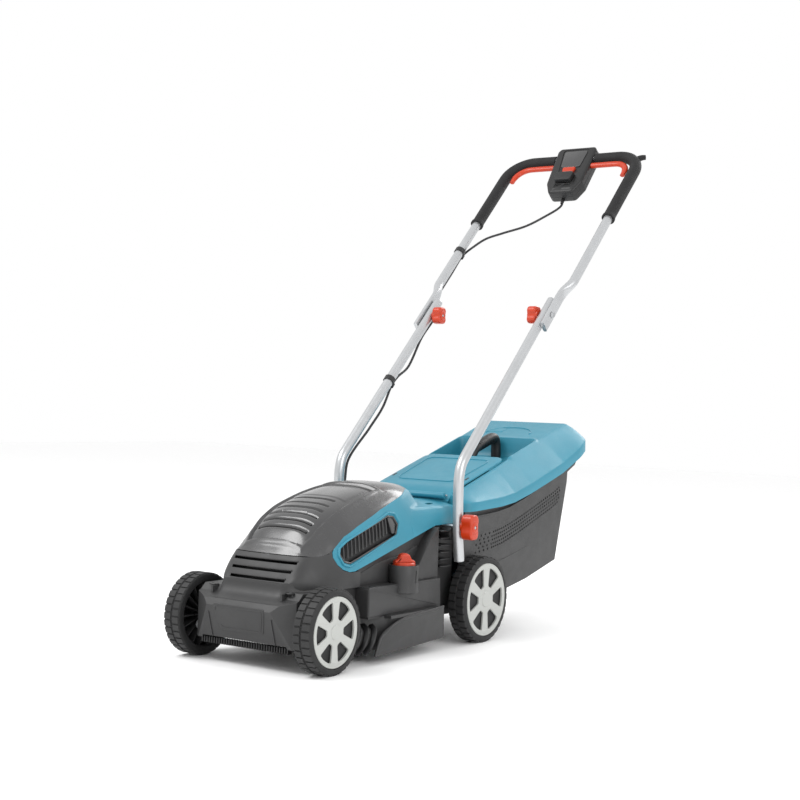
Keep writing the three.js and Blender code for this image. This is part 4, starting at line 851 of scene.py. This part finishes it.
def build_tubes():
    for side, s in SIDES:
        x = s * TUBE_X
        line = [at(x, 192, 176), at(x, 185, 219), at(x, 182, 259), at(x, 179.5, 334), at(x, 181.5, 356),
                at(x, 189, 378), on_handle(x, -440), on_handle(x, -420), on_handle(x, -165), on_handle(x, 50)]
        tube = sweep(f"lower_leg_{side}", smooth_line(line, 7), circle(TUBE_R, 28), angle=50)
        round_edges(tube, 1.2, 2, 60)
        settle(bake(tube, 50), "lower_handle", "tube_metal", (f"lower_tube_{side}",))


def build_upper_bar():
    """The U-shaped tube, pressed flat where it bolts to the lower tubes."""
    half = [(171.4, -42), (171.4, 20), (171.4, 66), (173.5, 80), (179, 97), (184, 112)]
    half += [(LEG_X, t) for t in (130, 300, 420, 520, UPPER_LENGTH - CORNER_R)]
    half += [*corner_arc(), (60, UPPER_LENGTH)]
    line = [on_handle(x, t) for x, t in half] + [on_handle(-x, t) for x, t in reversed(half)]
    path = smooth_line(line, 8)
    verts, count = [], 28
    bolt = on_handle(0, 0)
    along = Vector((0, COS45, COS45))
    below = Vector((0, COS45, -COS45))
    for i, p in enumerate(path):
        ahead = (path[min(i + 1, len(path) - 1)] - path[max(i - 1, 0)]).normalized()
        flat = 1 - step(84, 40, (p - bolt).dot(along) * 1000)
        wide, thin = TUBE_R + 2.5 * flat, TUBE_R - 6.2 * flat
        power = 1 - 0.55 * flat
        across = ahead.cross(below).normalized()
        for ca, sa in circle(1, count):
            a = math.copysign(abs(ca) ** power, ca) * thin
            b = math.copysign(abs(sa) ** power, sa) * wide
            verts.append(p + across * (a / 1000) + below * (b / 1000))
    bar = new_object("upper_bar", verts, ring_faces(len(path), count), 45)
    settle(bar, "upper_handle", "tube_metal", ("upper_tube",))


build_tubes()
build_upper_bar()


def build_grips():
    for side, s in SIDES:
        line = [(LEG_X, t) for t in (350, 360, 400, 470, UPPER_LENGTH - CORNER_R)]
        line += [*corner_arc(), (90, UPPER_LENGTH), (57, UPPER_LENGTH)]
        path = smooth_line([on_handle(s * x, t) for x, t in line], 5)
        total = len(path)

        def girth(share):
            t = share * (total - 1) * 5
            lip = 1.13 if t < 7 else 1.13 - 0.13 * step(9, 6, t)
            return lip * (1 + 0.02 * math.sin(share * math.pi))

        parts = [sweep("grip", path, circle(14.6, 32), scale=girth, angle=50)]
        if s > 0:
            tail = smooth_line([on_handle(172, 588), on_handle(184, 598, 1), on_handle(192, 603, 4)], 3)
            parts.append(sweep("tail", tail, circle(8.5, 20), scale=lambda k: 1 - 0.28 * k))
        settle(joined(f"grip_sleeve_{side}", parts, 50), "upper_handle", "grip_foam", (f"grip_{side}",))


build_grips()

# ---- Console and bail ----
CONSOLE_SLOPE = math.radians(53.5)
BAR = on_handle(0, UPPER_LENGTH)
CONSOLE_X = Vector((-1, 0, 0))
CONSOLE_DOWN = Vector((0, -math.cos(CONSOLE_SLOPE), -math.sin(CONSOLE_SLOPE)))
CONSOLE_OUT = Vector((0, -math.sin(CONSOLE_SLOPE), math.cos(CONSOLE_SLOPE)))


def on_console(a, b, c):
    """A point across the console, down its face and out from it."""
    return BAR + (CONSOLE_X * a + CONSOLE_DOWN * b + CONSOLE_OUT * c) / 1000


def mirrored(points):
    return points + [(-a, b) for a, b in reversed(points)]


def build_console():
    half = [(0.01, -33), (49, -33), (56, -22), (50, 92), (34, 127), (0.01, 127.5)]
    outline = rounded(mirrored(half), 13, 6)
    body = plate("console_body", outline, on_console, -22, 16, edge=7, steps=5)
    recess = plate("console_recess", rounded(mirrored([(0.01, -24), (38, -24), (27, 62), (0.01, 62)]), 9, 6),
                   on_console, 14, 30, edge=1)
    thumb = plate("console_thumb", rounded(mirrored([(0.01, 68), (27, 68), (22, 96), (0.01, 96)]), 8, 6),
                  on_console, 12.6, 30, edge=1)
    body = boolean(body, [recess, thumb], angle=28)
    seam = plate("console_seam", inset_loop(outline, -0.35), on_console, -3.6, -2.6, edge=0.3)
    settle(seam, "upper_handle", "black_plastic")
    settle(body, "upper_handle", "black_plastic", ("console_top", "console_base"))
    panel = plate("console_face", rounded(mirrored([(0.01, -19), (33, -19), (27, 38), (0.01, 38)]), 7, 6),
                  on_console, 13.8, 15.7, edge=0.7)
    settle(panel, "upper_handle", "hood_plastic", ("console_panel",))
    outline = rounded(mirrored([(0.01, 41), (18.5, 41), (15.5, 58.5), (0.01, 58.5)]), 5, 6)
    button = plate("button_cap", outline, on_console, 5, 19.5, edge=2.4)
    settle(button, "button", "orange_plastic", ("start_button",))
    outline = rounded(mirrored([(0.01, 66.5), (28.5, 66.5), (23.4, 97.5), (0.01, 97.5)]), 8, 6)
    rim = sweep("thumb_rim", [on_console(a, b, 15.6) for a, b in outline], circle(1.1, 10))
    settle(rim, "upper_handle", "black_plastic")


build_console()


def build_bail():
    bail_t, bail_r = UPPER_LENGTH - 27, CORNER_R - 27
    bend_x = LEG_X - CORNER_R
    half = [(0, bail_t), (60, bail_t), (bend_x, bail_t)]
    for i in range(1, 9):
        turn = math.pi / 2 * i / 8
        half.append((bend_x + bail_r * math.sin(turn), bail_t - bail_r * (1 - math.cos(turn))))
    half.append((bend_x + bail_r, bail_t - bail_r - 14))
    line = [on_handle(-x, t) for x, t in reversed(half[1:])] + [on_handle(x, t) for x, t in half]
    path = smooth_line(line, 5)
    total = len(path)

    def swell(share):
        end = min(share, 1 - share) * (total - 1)
        return 0.8 + 0.2 * step(2, 4, end)

    bail = sweep("bail", path, oval(6.4, 1.25, count=20), scale=swell, angle=50)
    settle(bail, "bail", "orange_plastic", ("bail_lever",))


build_bail()

# ---- Knobs ----
WING_POWER = 0.62


def wing_outline(height, width):
    """A rounded rectangle with a waist."""
    pts = []
    for a, b in circle(1, 64):
        x = math.copysign(abs(a) ** WING_POWER, a) * width / 2
        z = math.copysign(abs(b) ** WING_POWER, b) * height / 2
        waist = 1 - 0.2 * math.exp(-(z / (height * 0.17)) ** 2)
        pts.append((x * waist, z))
    return pts


def build_wing(name, centre, s, height, width, depth, body, node, inward=False):
    d = -s if inward else s

    def place(a, b, c):
        return centre + Vector((d * c / 1000, a / 1000, b / 1000))

    wing = plate("wing", wing_outline(height, width), place, 3, depth, edge=4.2, steps=5)
    hub_profile = [(0, 0), (width * 0.36, 0), (width * 0.37, 3), (width * 0.33, depth + 0.3),
                   (width * 0.26, depth + 1.2), (width * 0.14, depth + 1.2), (width * 0.12, depth - 1),
                   (0, depth - 1)]
    parts = [wing, lathe("hub", hub_profile, centre, (d, 0, 0), 32)]
    for k in range(-2, 3):
        z = k * height * 0.13
        ridge = [place(-width * 0.2, z, depth), place(width * 0.2, z, depth)]
        parts.append(sweep("ridge", ridge, circle(0.5, 8)))
    settle(joined(name, parts), body, "orange_plastic", (node,))
    nut_profile = [(0, depth - 2), (3.4, depth - 2), (3.4, depth + 0.4), (2.8, depth + 0.9), (0, depth + 0.9)]
    settle(lathe(name + "_nut", nut_profile, centre, (d, 0, 0), 6), body, "steel")


for side_name, sign in SIDES:
    initial = side_name[0]
    build_wing(f"lower_wing_{side_name}", at(sign * 167.4, PIVOT_Y, PIVOT_Z), sign, 52, 33, 30,
               f"knob_l{initial}", f"lower_knob_{side_name}")
    build_wing(f"upper_wing_{side_name}", at(sign * 142.6, BOLT_Y, BOLT_Z), sign, 40, 33, 25,
               f"knob_u{initial}", f"upper_knob_{side_name}", inward=True)


KNOB_X, KNOB_Y, KNOB_Z = 143, 5, 180


def build_height_knob():
    middle = at(KNOB_X, KNOB_Y, KNOB_Z)
    direction = Vector((0.62, 0.785, 0))
    normal = Vector((0.785, -0.62, 0))

    def place(a, b, c):
        return middle + (direction * a + Vector((0, 0, b)) + normal * c) / 1000

    outline = mirrored([(-21.5, 3), (-21, 9), (-14, 12.5), (-9.5, 21), (-4, 24)])
    outline.insert(5, (0, 24))
    lobe = plate("lobe", rounded(outline, 3.5, 4), place, -9.5, 9.5, edge=4, steps=5)
    disc = lathe("disc", [(0, -5), (22.6, -5), (23.2, 0), (22.4, 4.6), (20, 6.4), (0, 7)], middle,
                 (0, 0, 1), 64)
    settle(joined("height_grip", [disc, lobe]), "height_wheel", "orange_plastic", ("height_knob",))


build_height_knob()

# ---- Motor lead ----
LEAD_R = 2.8
UNDER = TUBE_R + LEAD_R + 1.2


def build_leads():
    end = on_console(0, 129.5, -12)
    upper = [end, end + Vector((0, -0.007, -0.014)), at(-18, 812, 977), at(-52, 787, 954),
             at(-98, 753, 934), at(-132, 728, 918), at(-160, 712, 896),
             on_handle(-LEG_X + 3, 256, UNDER + 0.5), on_handle(-LEG_X, 242, UNDER),
             on_handle(-LEG_X, 180, UNDER + 1), on_handle(-LEG_X, 130, UNDER + 1),
             on_handle(-LEG_X, 86.5, UNDER + 1)]
    middle = [upper[-1], on_handle(-LEG_X + 2, 76, UNDER + 2), on_handle(-TUBE_X - 6, 40, UNDER + 6),
              on_handle(-TUBE_X, 0, UNDER + 3), on_handle(-TUBE_X, -60, UNDER + 1),
              on_handle(-TUBE_X, -150, UNDER + 14), on_handle(-TUBE_X, -196, UNDER + 2),
              on_handle(-TUBE_X, -226, UNDER), on_handle(-TUBE_X, -286, UNDER + 13),
              on_handle(-TUBE_X, -356, UNDER + 12), at(-TUBE_X, 210, 369), at(-TUBE_X, 202, 329),
              at(-TUBE_X, 197.9, 300.6)]
    lower = [middle[-1], at(-TUBE_X, 197.1, 295), at(-TUBE_X + 4, 196.5, 291), at(-TUBE_X + 16, 196, 297),
             at(-TUBE_X + 36, 196, 309), at(-110, 196, 311), at(-102, 196, 302), at(-102, 196, 289),
             at(-102, 196, 259)]
    for name, line, body, node in (("lead_upper", upper, "upper_handle", "cable_upper"),
                                   ("lead_middle", middle, "lower_handle", "cable_middle"),
                                   ("lead_lower", lower, "deck", "cable_lower")):
        settle(sweep(name, smooth_line(line, 4), circle(LEAD_R, 16), angle=60), body, "lead_rubber", (node,))
    boot_profile = [(LEAD_R, -2), (6, -2), (6.2, 0), (4.6, 3), (5, 5), (4.2, 9), (4.5, 11), (3.6, 16),
                    (LEAD_R, 18)]
    boot = lathe("lead_boot", boot_profile, on_console(0, 124, -12), CONSOLE_DOWN, 24)
    settle(boot, "upper_handle", "black_plastic")


build_leads()

# ---- Deck details ----
def from_node(name, node):
    """A CAD part's own shape as a fresh piece, its flat faces merged and its edges rounded."""
    source = frame["nodes"][node]
    made = bpy.data.objects.new(name, source.data.copy())
    made.matrix_world = source.matrix_world.copy()
    scene.collection.objects.link(made)
    merge_flats(made)
    round_edges(made, 2.2, 3, 40)
    return bake(made, 40)


def side_place(x0):
    """Outlines drawn in (y, z), with the thickness going out across the mower."""
    return lambda y, z, c: at(x0 + (c if x0 > 0 else -c), y, z)


def strip(name, path, section):
    """Sweeps a section of (outward, up) points along a level path in the plan."""
    verts = []
    for i, p in enumerate(path):
        ahead = path[min(i + 1, len(path) - 1)] - path[max(i - 1, 0)]
        out = Vector((ahead.y, -ahead.x, 0)).normalized()
        verts += [p + (out * a + Vector((0, 0, b))) / 1000 for a, b in section]
    return new_object(name, verts, ring_faces(len(path), len(section)), 40)


NOSE_FRONT, NOSE_HALF, SHELF_Z = -326.6, 119, 145.6
COMB_PITCH, COMB_HALF = 6.1, 17


def nose_front(z):
    """The y of the nose's face, which slopes back below its upper panel."""
    return NOSE_FRONT + 21 * (112 - z) / 67 if z < 112 else NOSE_FRONT


def build_cowl_root():
    """The concave fillet between the cowl and the shelf, and a black plate behind the cowl's slots as painted
    shade, so they read dark.
    """
    half = [(124, -128), (124.5, -150), (124, -175), (120, -205), (111, -232), (96, -254)]
    half += [(x, solve_front(x, 148.5) - 0.5) for x in (70, 56, 40, 20)]
    line = [*half, (0, solve_front(0, 148.5) - 0.5), *[(-x, y) for x, y in reversed(half)]]
    line = smooth_line([at(x, y, SHELF_Z) for x, y in line], 7)
    section = [(-3, -26), (-3, 15.5), (0.2, 15), (0.7, 10), (1.8, 5), (3.6, 0.5), (6.5, -5), (11, -10),
               (18, -14.2), (30, -20), (30, -26)]
    fillet = strip("cowl_root", list(reversed(line)), section)
    clip = box_tool("clip", (-NOSE_HALF + 2, NOSE_HALF - 2), (-400, -132), (60, 200))
    settle(boolean(fillet, [clip], "INTERSECT", 40), "deck", "dark_plastic")

    def behind(a, b, c):
        return at(a, solve_front(a * 0.9, b) + 15 - c, b)

    # A black plate behind the slots: painted shade for the dark inside seen through them.
    outline = rounded([(-84, 152), (84, 152), (76, 205), (-76, 205)], 4, 4)
    settle(plate("cowl_slot_shade_plate", outline, behind, 0, 2, edge=0.5), "deck", "black_plastic")


def build_shelf_screw(side, s):
    screw = at(s * 92, -290, SHELF_Z - 0.2)
    eye_profile = [(3.6, -1), (7.4, -1), (7.6, 0.4), (6.8, 1.2), (4.4, 1.2), (3.6, 0.4)]
    eye = lathe(f"shelf_eye_{side}", eye_profile, screw, (0, 0, 1), 32)
    stretch = Matrix.Diagonal((1.35, 1, 1, 1))
    eye.data.transform(Matrix.Translation(screw) @ stretch @ Matrix.Translation(-screw))
    settle(eye, "deck", "black_plastic")
    head_profile = [(0, -1.5), (3.4, -1.5), (3.4, -0.2), (2.6, 0.5), (1.4, 0.5), (1.4, -0.4), (0, -0.4)]
    settle(lathe(f"shelf_screw_{side}", head_profile, screw, (0, 0, 1), 20), "deck", "steel")


def build_nose():
    def place(a, b, c):
        return at(a, nose_front(b) - c, b)

    panel = plate("nose_panel", rounded([(-64, 116), (64, 116), (52, 66), (-52, 66)], 7, 5), place, -2, 1.1,
                  edge=1)
    settle(panel, "deck", "dark_plastic")
    outline = rounded([(-58, 111), (58, 111), (47, 71), (-47, 71)], 6, 5)
    settle(sweep("nose_panel_line", [place(a, b, 1.1) for a, b in outline], circle(0.7, 8)), "deck",
           "dark_plastic")
    for side, s in SIDES:
        slats = []
        for k in range(6):
            x, top = s * (76 + 7.6 * k), 98 - 2 * k
            back = max(0, (abs(x) - 75) * 0.57) - 2.4
            outline = [(nose_front(z) + back + d, z) for z, d in ((50, 0), (top, 0), (top, 9), (50, 9))]
            slats.append(side_prism("slat", outline, x - 1.2, x + 1.2))
        for k in range(3):
            y = NOSE_FRONT + 32 + 9 * k
            slats.append(box_tool("slat", sorted((s * 117, s * 121)), (y - 1.3, y + 1.3), (48, 94)))
        settle(bevel(joined(f"corner_slats_{side}", slats), 0.7), "deck", "dark_plastic")
        build_shelf_screw(side, s)
    foot = nose_front(45)
    teeth = [box_tool("tooth", (x - 1.4, x + 1.4), (foot - 0.5, foot + 10), (36, 47.5))
             for x in (k * COMB_PITCH for k in range(-COMB_HALF, COMB_HALF + 1))]
    settle(bevel(joined("front_comb", teeth), 0.6), "deck", "black_plastic")


build_cowl_root()
build_nose()


POD_X, SKIRT_X = 112, 166.5


def build_pod(side, s):
    """The ribbed pod beside the blade housing, with the height knob's collar on the left."""
    across = side_place(s * POD_X)
    pod = plate("pod", rounded([(-122, 87), (-122, 146.4), (128.5, 146.4), (132.5, 96), (132.5, 87)], 5, 5),
                across, 0, 38.8, edge=4, steps=4)
    outline = [(-6, 143), (30, 152), (62, 178), (84, 204), (103, 226), (132.6, 249), (132.6, 143)]
    shoulder = plate("shoulder", rounded(outline, 12, 6), across, -4, 29.8, edge=2.2, steps=4)
    outline = [(-118, 143), (-118, 168), (-60, 186), (40, 200), (90, 215), (90, 143)]
    parts = [pod, shoulder, plate("flank", rounded(outline, 9, 5), across, 0, 8, edge=3)]
    if s > 0:
        profile = [(25.8, 172), (25.8, 180.6), (26.6, 181.4), (29.2, 181.4), (30, 180.4), (29.4, 150),
                   (31, 128), (24, 126), (24, 172)]
        collar = lathe("collar", profile, at(KNOB_X, KNOB_Y, 0), (0, 0, 1), 56)
        groove = box_tool("groove", (170.2, 178), (3.4, 6.6), (148, 172))
        parts.append(boolean(collar, [groove], angle=40))
    settle(joined(f"pod_skin_{side}", parts, 40), "deck", "dark_plastic")
    for i, y in enumerate((-106, 86)):
        profile = [(0, -2), (4, -2), (4.2, -0.4), (3.4, 0), (2.2, 0), (2.2, -1.2), (0, -1.2)]
        eye = lathe(f"pod_eye_{side}_{i}", profile, at(s * 141, y, 147.2), (0, 0, 1), 24)
        settle(eye, "deck", "black_plastic")


def build_skirt(side, s):
    edge = [(-119.5, 17.5), (-101, 53), (-62, 72.6), (-27, 81.4), (40, 86.5), (117, 91.4)]
    edge = smooth_line([at(s * (SKIRT_X + 1), y, z) for y, z in edge], 5)
    settle(sweep(f"skirt_lip_{side}", edge, oval(1.5, 1.6)), "deck", "dark_plastic")
    outline = rounded([(-116, 19.5), (-98, 51), (-60, 69.5), (-26, 78), (115, 87.5), (119, 29)], 6, 5)
    panel = plate(f"skirt_skin_{side}", outline, side_place(s * SKIRT_X), 0, 3.2, edge=1.2)
    settle(panel, "deck", "dark_plastic")


def build_fins(side, s):
    """Curved fins in the throat behind the front wheel, and level ones at the handle's foot."""
    for k in range(3):
        x, y = 160 - 6 * k, -124 - 16 * k
        line = smooth_line([at(s * (x - 12), y - 4, 23), at(s * x, y - 3, 36), at(s * (x + 1), y + 6, 52),
                            at(s * (x - 8), y + 20, 66), at(s * (x - 30), y + 34, 74)], 4)
        settle(sweep(f"throat_fin_{side}_{k}", line, oval(2.4, 2.4, count=14)), "deck", "black_plastic")
    outline = rounded([(s * 116, 138), (s * 144, 138), (s * 146, 158), (s * 146, 176), (s * 116, 176)], 3, 3)
    fins = [plate("fin", outline, at, z, z + 2.6, edge=0.7) for z in (166 + 14.5 * k for k in range(6))]
    settle(joined(f"foot_fins_{side}", fins, 40), "deck", "black_plastic")


for side_name, sign in SIDES:
    build_pod(side_name, sign)
    build_skirt(side_name, sign)
    build_fins(side_name, sign)


# ---- Side vents ----
VENT_Y = sum(y for y, _ in VENT) / len(VENT)
VENT_Z = sum(z for _, z in VENT) / len(VENT)


def side_surface(y, z):
    """The body's half-width beside the vent."""
    ex, ez, side = smooth_value(EDGE_X, y), smooth_value(EDGE_Z, y), smooth_value(SIDE_X, y)
    low = cover_edge(max(y, -200))
    t = min(1, max(0, (ez - z) / max(1, ez - low)))
    return ex + (side - ex) * t + math.sin(math.pi * t) * 3


def build_vents():
    for side, s in SIDES:
        def place(y, z, c):
            return at(s * (side_surface(y, z) + c), y, z)

        def loop(long, high, out):
            """The vent's outline, scaled about its middle, as a closed line."""
            line = [place(VENT_Y + (y - VENT_Y) * long, VENT_Z + (z - VENT_Z) * high, out)
                    for y, z in VENT_OUTLINE]
            line = [p for i, p in enumerate(line) if i == 0 or (p - line[i - 1]).length > 0.0004]
            return [*line, line[0]]

        back = plate(f"vent_back_{side}", VENT_OUTLINE, place, -9, -6, edge=0.5, angle=40)
        settle(back, "deck", "black_plastic", (f"side_vent_{side}",))
        rim = sweep("rim", loop(0.985, 0.95, -0.6), circle(1.9, 12))
        end = plate("end", rounded([(-8, 241), (-13, 274), (4, 272), (11, 260), (1, 242)], 3, 4), place, -6.5,
                    -1.6, edge=0.8)
        settle(joined(f"vent_frame_{side}", [rim, end], 40), "deck", "hood_plastic")
        slats = []
        for k in range(13):
            y = -160 + 11.4 * k
            low = 199 + (y + 158) * 0.31
            high = min(230 + (y + 158) * 0.33, 278)
            line = [place(y - 2, low, -3.5), place(y + 1, (low + high) / 2, -3.2), place(y + 4, high, -3.5)]
            slats.append(sweep("slat", line, circle(1.9, 10)))
        settle(joined(f"vent_slats_{side}", slats, 40), "deck", "dark_plastic")
        lip = sweep(f"vent_lip_{side}", loop(1.03, 1.1, 0.2), oval(2.4, 1.5, count=14))
        settle(lip, "deck", "turquoise_plastic")


build_vents()


# ---- Grass box, flap and level indicator ----
LID_SLOPE = 0.3096


def lid_top(y):
    return 329 + (y - 290) * LID_SLOPE


RIM = [(228, 275), (350, 284), (400, 291), (466, 308), (608, 352), (720, 400), (760, 418)]
LID_SIDE = [(228, 140), (236, 149), (252, 154), (338, 161), (560, 169), (690, 171), (722, 166), (736, 157),
            (742, 146)]
RECESS_HALF, RECESS_FRONT, RECESS_REAR, RECESS_DEPTH, RECESS_CORNER = 100, 399, 599, 42, 16
FLAP_SEAT, SEAT_REAR, SHOULDER_X = 6, 463, 104


def lid_place(a, b, c):
    """A point of the lid's own slope: across, back along the level, and above its surface."""
    return at(a, b, lid_top(b) + c)


def lid_height(x, y):
    """The lid's moulded top: a crowned plateau with a seat for the flap and a sunk hollow for the handle."""
    wide = interpolate(LID_SIDE, y)
    fall = lid_top(y) - interpolate(RIM, y) - interpolate([(228, 20), (742, 27)], y)
    share = min(1, max(0, (abs(x) - SHOULDER_X) / (wide - SHOULDER_X)))
    z = lid_top(y) - fall * share ** 1.35
    z -= FLAP_SEAT * (1 - step(SEAT_REAR, 3, y)) * (1 - step(105, 3, abs(x)))
    z -= 14 * max(0, (y - 728) / 14) ** 2
    dx = abs(x) - (RECESS_HALF - RECESS_CORNER)
    dy = max(RECESS_FRONT + RECESS_CORNER - y, y - RECESS_REAR + RECESS_CORNER)
    if dx > 0 and dy > 0:
        inside = RECESS_CORNER - math.hypot(dx, dy)
    else:
        inside = min(RECESS_HALF - abs(x), y - RECESS_FRONT, RECESS_REAR - y)
    lip = 2.2 * step(-9, 5, inside) * (1 - step(-1.5, 4, inside)) if y > 466 else 0
    return z - RECESS_DEPTH * step(0, 7, inside) + lip


def build_lid():
    # Grid lines lie close together where the recess, the flap's seat and the rim turn sharply.
    xs = [*range(0, 81, 8), 88, 91, 93, 95, 97, 98.5, 100, 101.5, 103, 104.5, 106, 108, 112]
    shares = (0.12, 0.25, 0.38, 0.5, 0.62, 0.74, 0.85, 0.94, 0.98, 1)
    ys = sorted({228, 231, 236, 244, 252, *range(262, 396, 12), 391, *range(394, 405, 2), 407, 411, 416, 424,
                 434, 446, 454, 459, 461, 462.5, 464, 466, 470, *range(480, 582, 10), 584, 588, 591, 594, 596,
                 598, 600, 602, 605, 608, 614, *range(624, 722, 10), 724, 728, 732, 735, 738, 740, 742})
    rows = []
    for y in ys:
        low = interpolate(RIM, y) + 0.5
        beyond = interpolate(LID_SIDE, y) - 112
        half = [(x, lid_height(x, y)) for x in xs + [112 + beyond * share for share in shares]]
        x, z = half[-1]
        half += [(x + 1.2, z - 1.2), (x + 1.9, z - 3.5), (x + 2.1, (z + low) / 2), (x + 2.4, low)]
        rows.append([at(a, y, b) for a, b in [(-a, b) for a, b in reversed(half[1:])] + half])

    def turned(row, y, out):
        """An end row brought down to the rim."""
        return [Vector((p.x, p.y + out / 1000, (interpolate(RIM, y) + 0.5) / 1000)) for p in row]

    rows = [turned(rows[0], ys[0], -0.4), *rows, turned(rows[-1], ys[-1], 1.5)]
    obj = new_object("lid_shell", [p for row in rows for p in row], grid_faces(len(rows), len(rows[0])), 50)
    form = bmesh.new()
    form.from_mesh(obj.data)
    bmesh.ops.remove_doubles(form, verts=form.verts, dist=1e-6)
    if sum(face.normal.z * face.calc_area() for face in form.faces) < 0:
        bmesh.ops.reverse_faces(form, faces=form.faces)
    form.to_mesh(obj.data)
    form.free()
    settle(thicken(obj, 50), "grass_box", "turquoise_plastic", ("box_lid",))


def build_lid_details():
    ribs = []
    x = RECESS_HALF - 14
    for k in range(7):
        y = RECESS_FRONT + 24 + k * 25
        ribs.append(plate("rib", rounded([(-x, y), (x, y), (x, y + 5), (-x, y + 5)], 2, 3), lid_place,
                          -RECESS_DEPTH - 1, -RECESS_DEPTH + 1.4, edge=0.8))
    settle(joined("recess_ribs", ribs, 40), "grass_box", "turquoise_plastic")
    moon = [(60 * math.cos(math.pi * k / 20), 640 + 42 * math.sin(math.pi * k / 20)) for k in range(21)]
    moon = smooth_line([lid_place(a, b, 0.1) for a, b in moon], 6)
    settle(sweep("lid_half_moon", moon, oval(1.2, 1, 1.4, 10)), "grass_box", "turquoise_plastic")
    tab = plate("indicator_tab", rounded([(-61, 645), (-19, 645), (-19, 672), (-61, 672)], 6, 5), lid_place,
                -2.6, 1.2, edge=1.1)
    settle(tab, "indicator", "turquoise_plastic", ("level_indicator",))


def build_handle():
    path = [(589, -41), (587, -8), (581, 6), (569, 12), (503, 10), (487, 4), (479, -10), (477, -41)]
    line = smooth_line([lid_place(0, y, c) for y, c in path], 4)
    parts = [sweep("carry_handle", line, oval(10.4, 1.15, count=24))]
    along = (0, 1, LID_SLOPE)
    for k in range(9):
        ring = [(10.6, -1.3), (12.4, -1), (12.4, 1), (10.6, 1.3), (9, 1.3), (9, -1.3)]
        parts.append(lathe("ring", ring, lid_place(0, 508 + 7.2 * k, 10.3), along, 28))
    settle(joined("carry_handle", parts, 40), "grass_box", "black_plastic", ("box_handle",))


FLAP_HALF, FLAP_FRONT, FLAP_REAR, FLAP_CORNER = 104, 219, 457, 24
FLAP_ROWS, FLAP_COLUMNS = 60, 24


def flap_place(a, b, c):
    """A point above the flap's underside, which rolls down in front to meet the cover."""
    return at(a, b, lid_top(b) + 0.6 + c - 0.008 * max(0, 262 - b) ** 2)


def build_flap():
    verts, faces = [], []
    for top in (True, False):
        for i in range(FLAP_ROWS + 1):
            y = FLAP_FRONT + (FLAP_REAR - FLAP_FRONT) * i / FLAP_ROWS
            past = max(0, y - FLAP_REAR + FLAP_CORNER)
            width = FLAP_HALF - (FLAP_CORNER - math.sqrt(max(0, FLAP_CORNER ** 2 - past ** 2)))
            for j in range(FLAP_COLUMNS + 1):
                u = 2 * j / FLAP_COLUMNS - 1
                x = width * math.copysign(abs(u) ** 0.8, u)
                lip, tail = max(0, abs(x) - width + 4) / 4, max(0, y - FLAP_REAR + 4) / 4
                verts.append(flap_place(x, y, 5.6 - 1.8 * (lip ** 2 + tail ** 2) if top else 0.2))
    count = FLAP_COLUMNS + 1
    total = (FLAP_ROWS + 1) * count
    for quad in grid_faces(FLAP_ROWS + 1, count):
        faces += [quad, tuple(total + a for a in reversed(quad))]
    rim = [*range(count), *range(2 * count - 1, total, count), *range(total - 2, total - count - 1, -1),
           *range(total - 2 * count, 0, -count)]
    faces += [(a, total + a, total + b, b) for a, b in zip(rim, rim[1:] + rim[:1])]
    skin = new_object("flap_skin", verts, faces, 45)
    barrel = lathe("barrel", [(0, -98), (6, -98), (6.6, -97), (6.6, 97), (6, 98), (0, 98)],
                   at(0, 216.5, 307.5), (1, 0, 0), 28)
    settle(joined("flap_skin", [skin, barrel], 45), "flap", "turquoise_plastic", ("rear_flap",))
    line = [flap_place(a, b, 5.7) for a, b in rounded([(-76, 286), (76, 286), (82, 430), (-82, 430)], 22, 8)]
    settle(sweep("flap_outline", [*line, line[0]], oval(1, 1, 1.6, 10)), "flap", "turquoise_plastic")
    for side, s in SIDES:
        x0, x1 = s * 95 - 2.2, s * 95 + 2.2
        slot = rounded([(x0, 300), (x1, 300), (x1, 316), (x0, 316)], 2, 4)
        settle(plate(f"flap_slot_{side}", slot, flap_place, 4.6, 6.2, edge=0.4), "flap", "black_plastic")


def box_half(y, z):
    """The grass box's half-width, which widens upwards."""
    rim = interpolate(RIM, y)
    return 122 + 28 * min(1, max(0, (z - 84) / (rim - 84)))


BOX_FOOT = [(228, 112), (283, 98), (381, 84), (524, 110), (656, 145)]
HOLE_PITCH, HOLE_R = 8.4, 2.6


def build_box_body():
    holes = []
    profile = [(0, -8), (HOLE_R, -8), (HOLE_R, 8), (0, 8)]
    for k in range(42):
        for r in range(5):
            if k < 8 and (k + r) % 2:
                continue  # the pattern starts sparsely
            y = 288 + (k + r % 2 / 2) * HOLE_PITCH
            z = interpolate(RIM, y) - (60 - 14 * k / 42) - 8.6 * r
            holes += [lathe("hole", profile, at(s * box_half(y, z), y, z), (1, 0, 0), 8) for _, s in SIDES]
    body = boolean(from_node("box_shell", "box_body"), [joined("holes", holes)], angle=40)
    settle(body, "grass_box", "dark_plastic", ("box_body",))
    for side, s in SIDES:
        def wall_line(ys, height, out):
            return [at(s * (box_half(y, height(y)) + out), y, height(y)) for y in ys]

        line = wall_line(range(240, 656, 16), lambda y: interpolate(RIM, y) - 12, 0.6)
        settle(sweep(f"box_step_{side}", line, oval(2, 1.4)), "grass_box", "dark_plastic")
        ribs = []
        for share in (0.36, 0.14):
            def height(y):
                return interpolate(BOX_FOOT, y) * (1 - share) + interpolate(RIM, y) * share

            ribs.append(sweep("rib", wall_line(range(290, 640, 14), height, 0.3), oval(1.3, 0.8, 1.6, 10)))
        settle(joined(f"box_ribs_{side}", ribs, 40), "grass_box", "dark_plastic")
    ribs = [sweep("rib", [at(x, 657, 160), at(x * 1.05, 669.6, 345)], oval(1.6, 1.6, count=10))
            for x in range(-108, 109, 27)]
    settle(joined("box_rear_ribs", ribs, 40), "grass_box", "dark_plastic")


build_lid()
build_lid_details()
build_handle()
build_flap()
build_box_body()
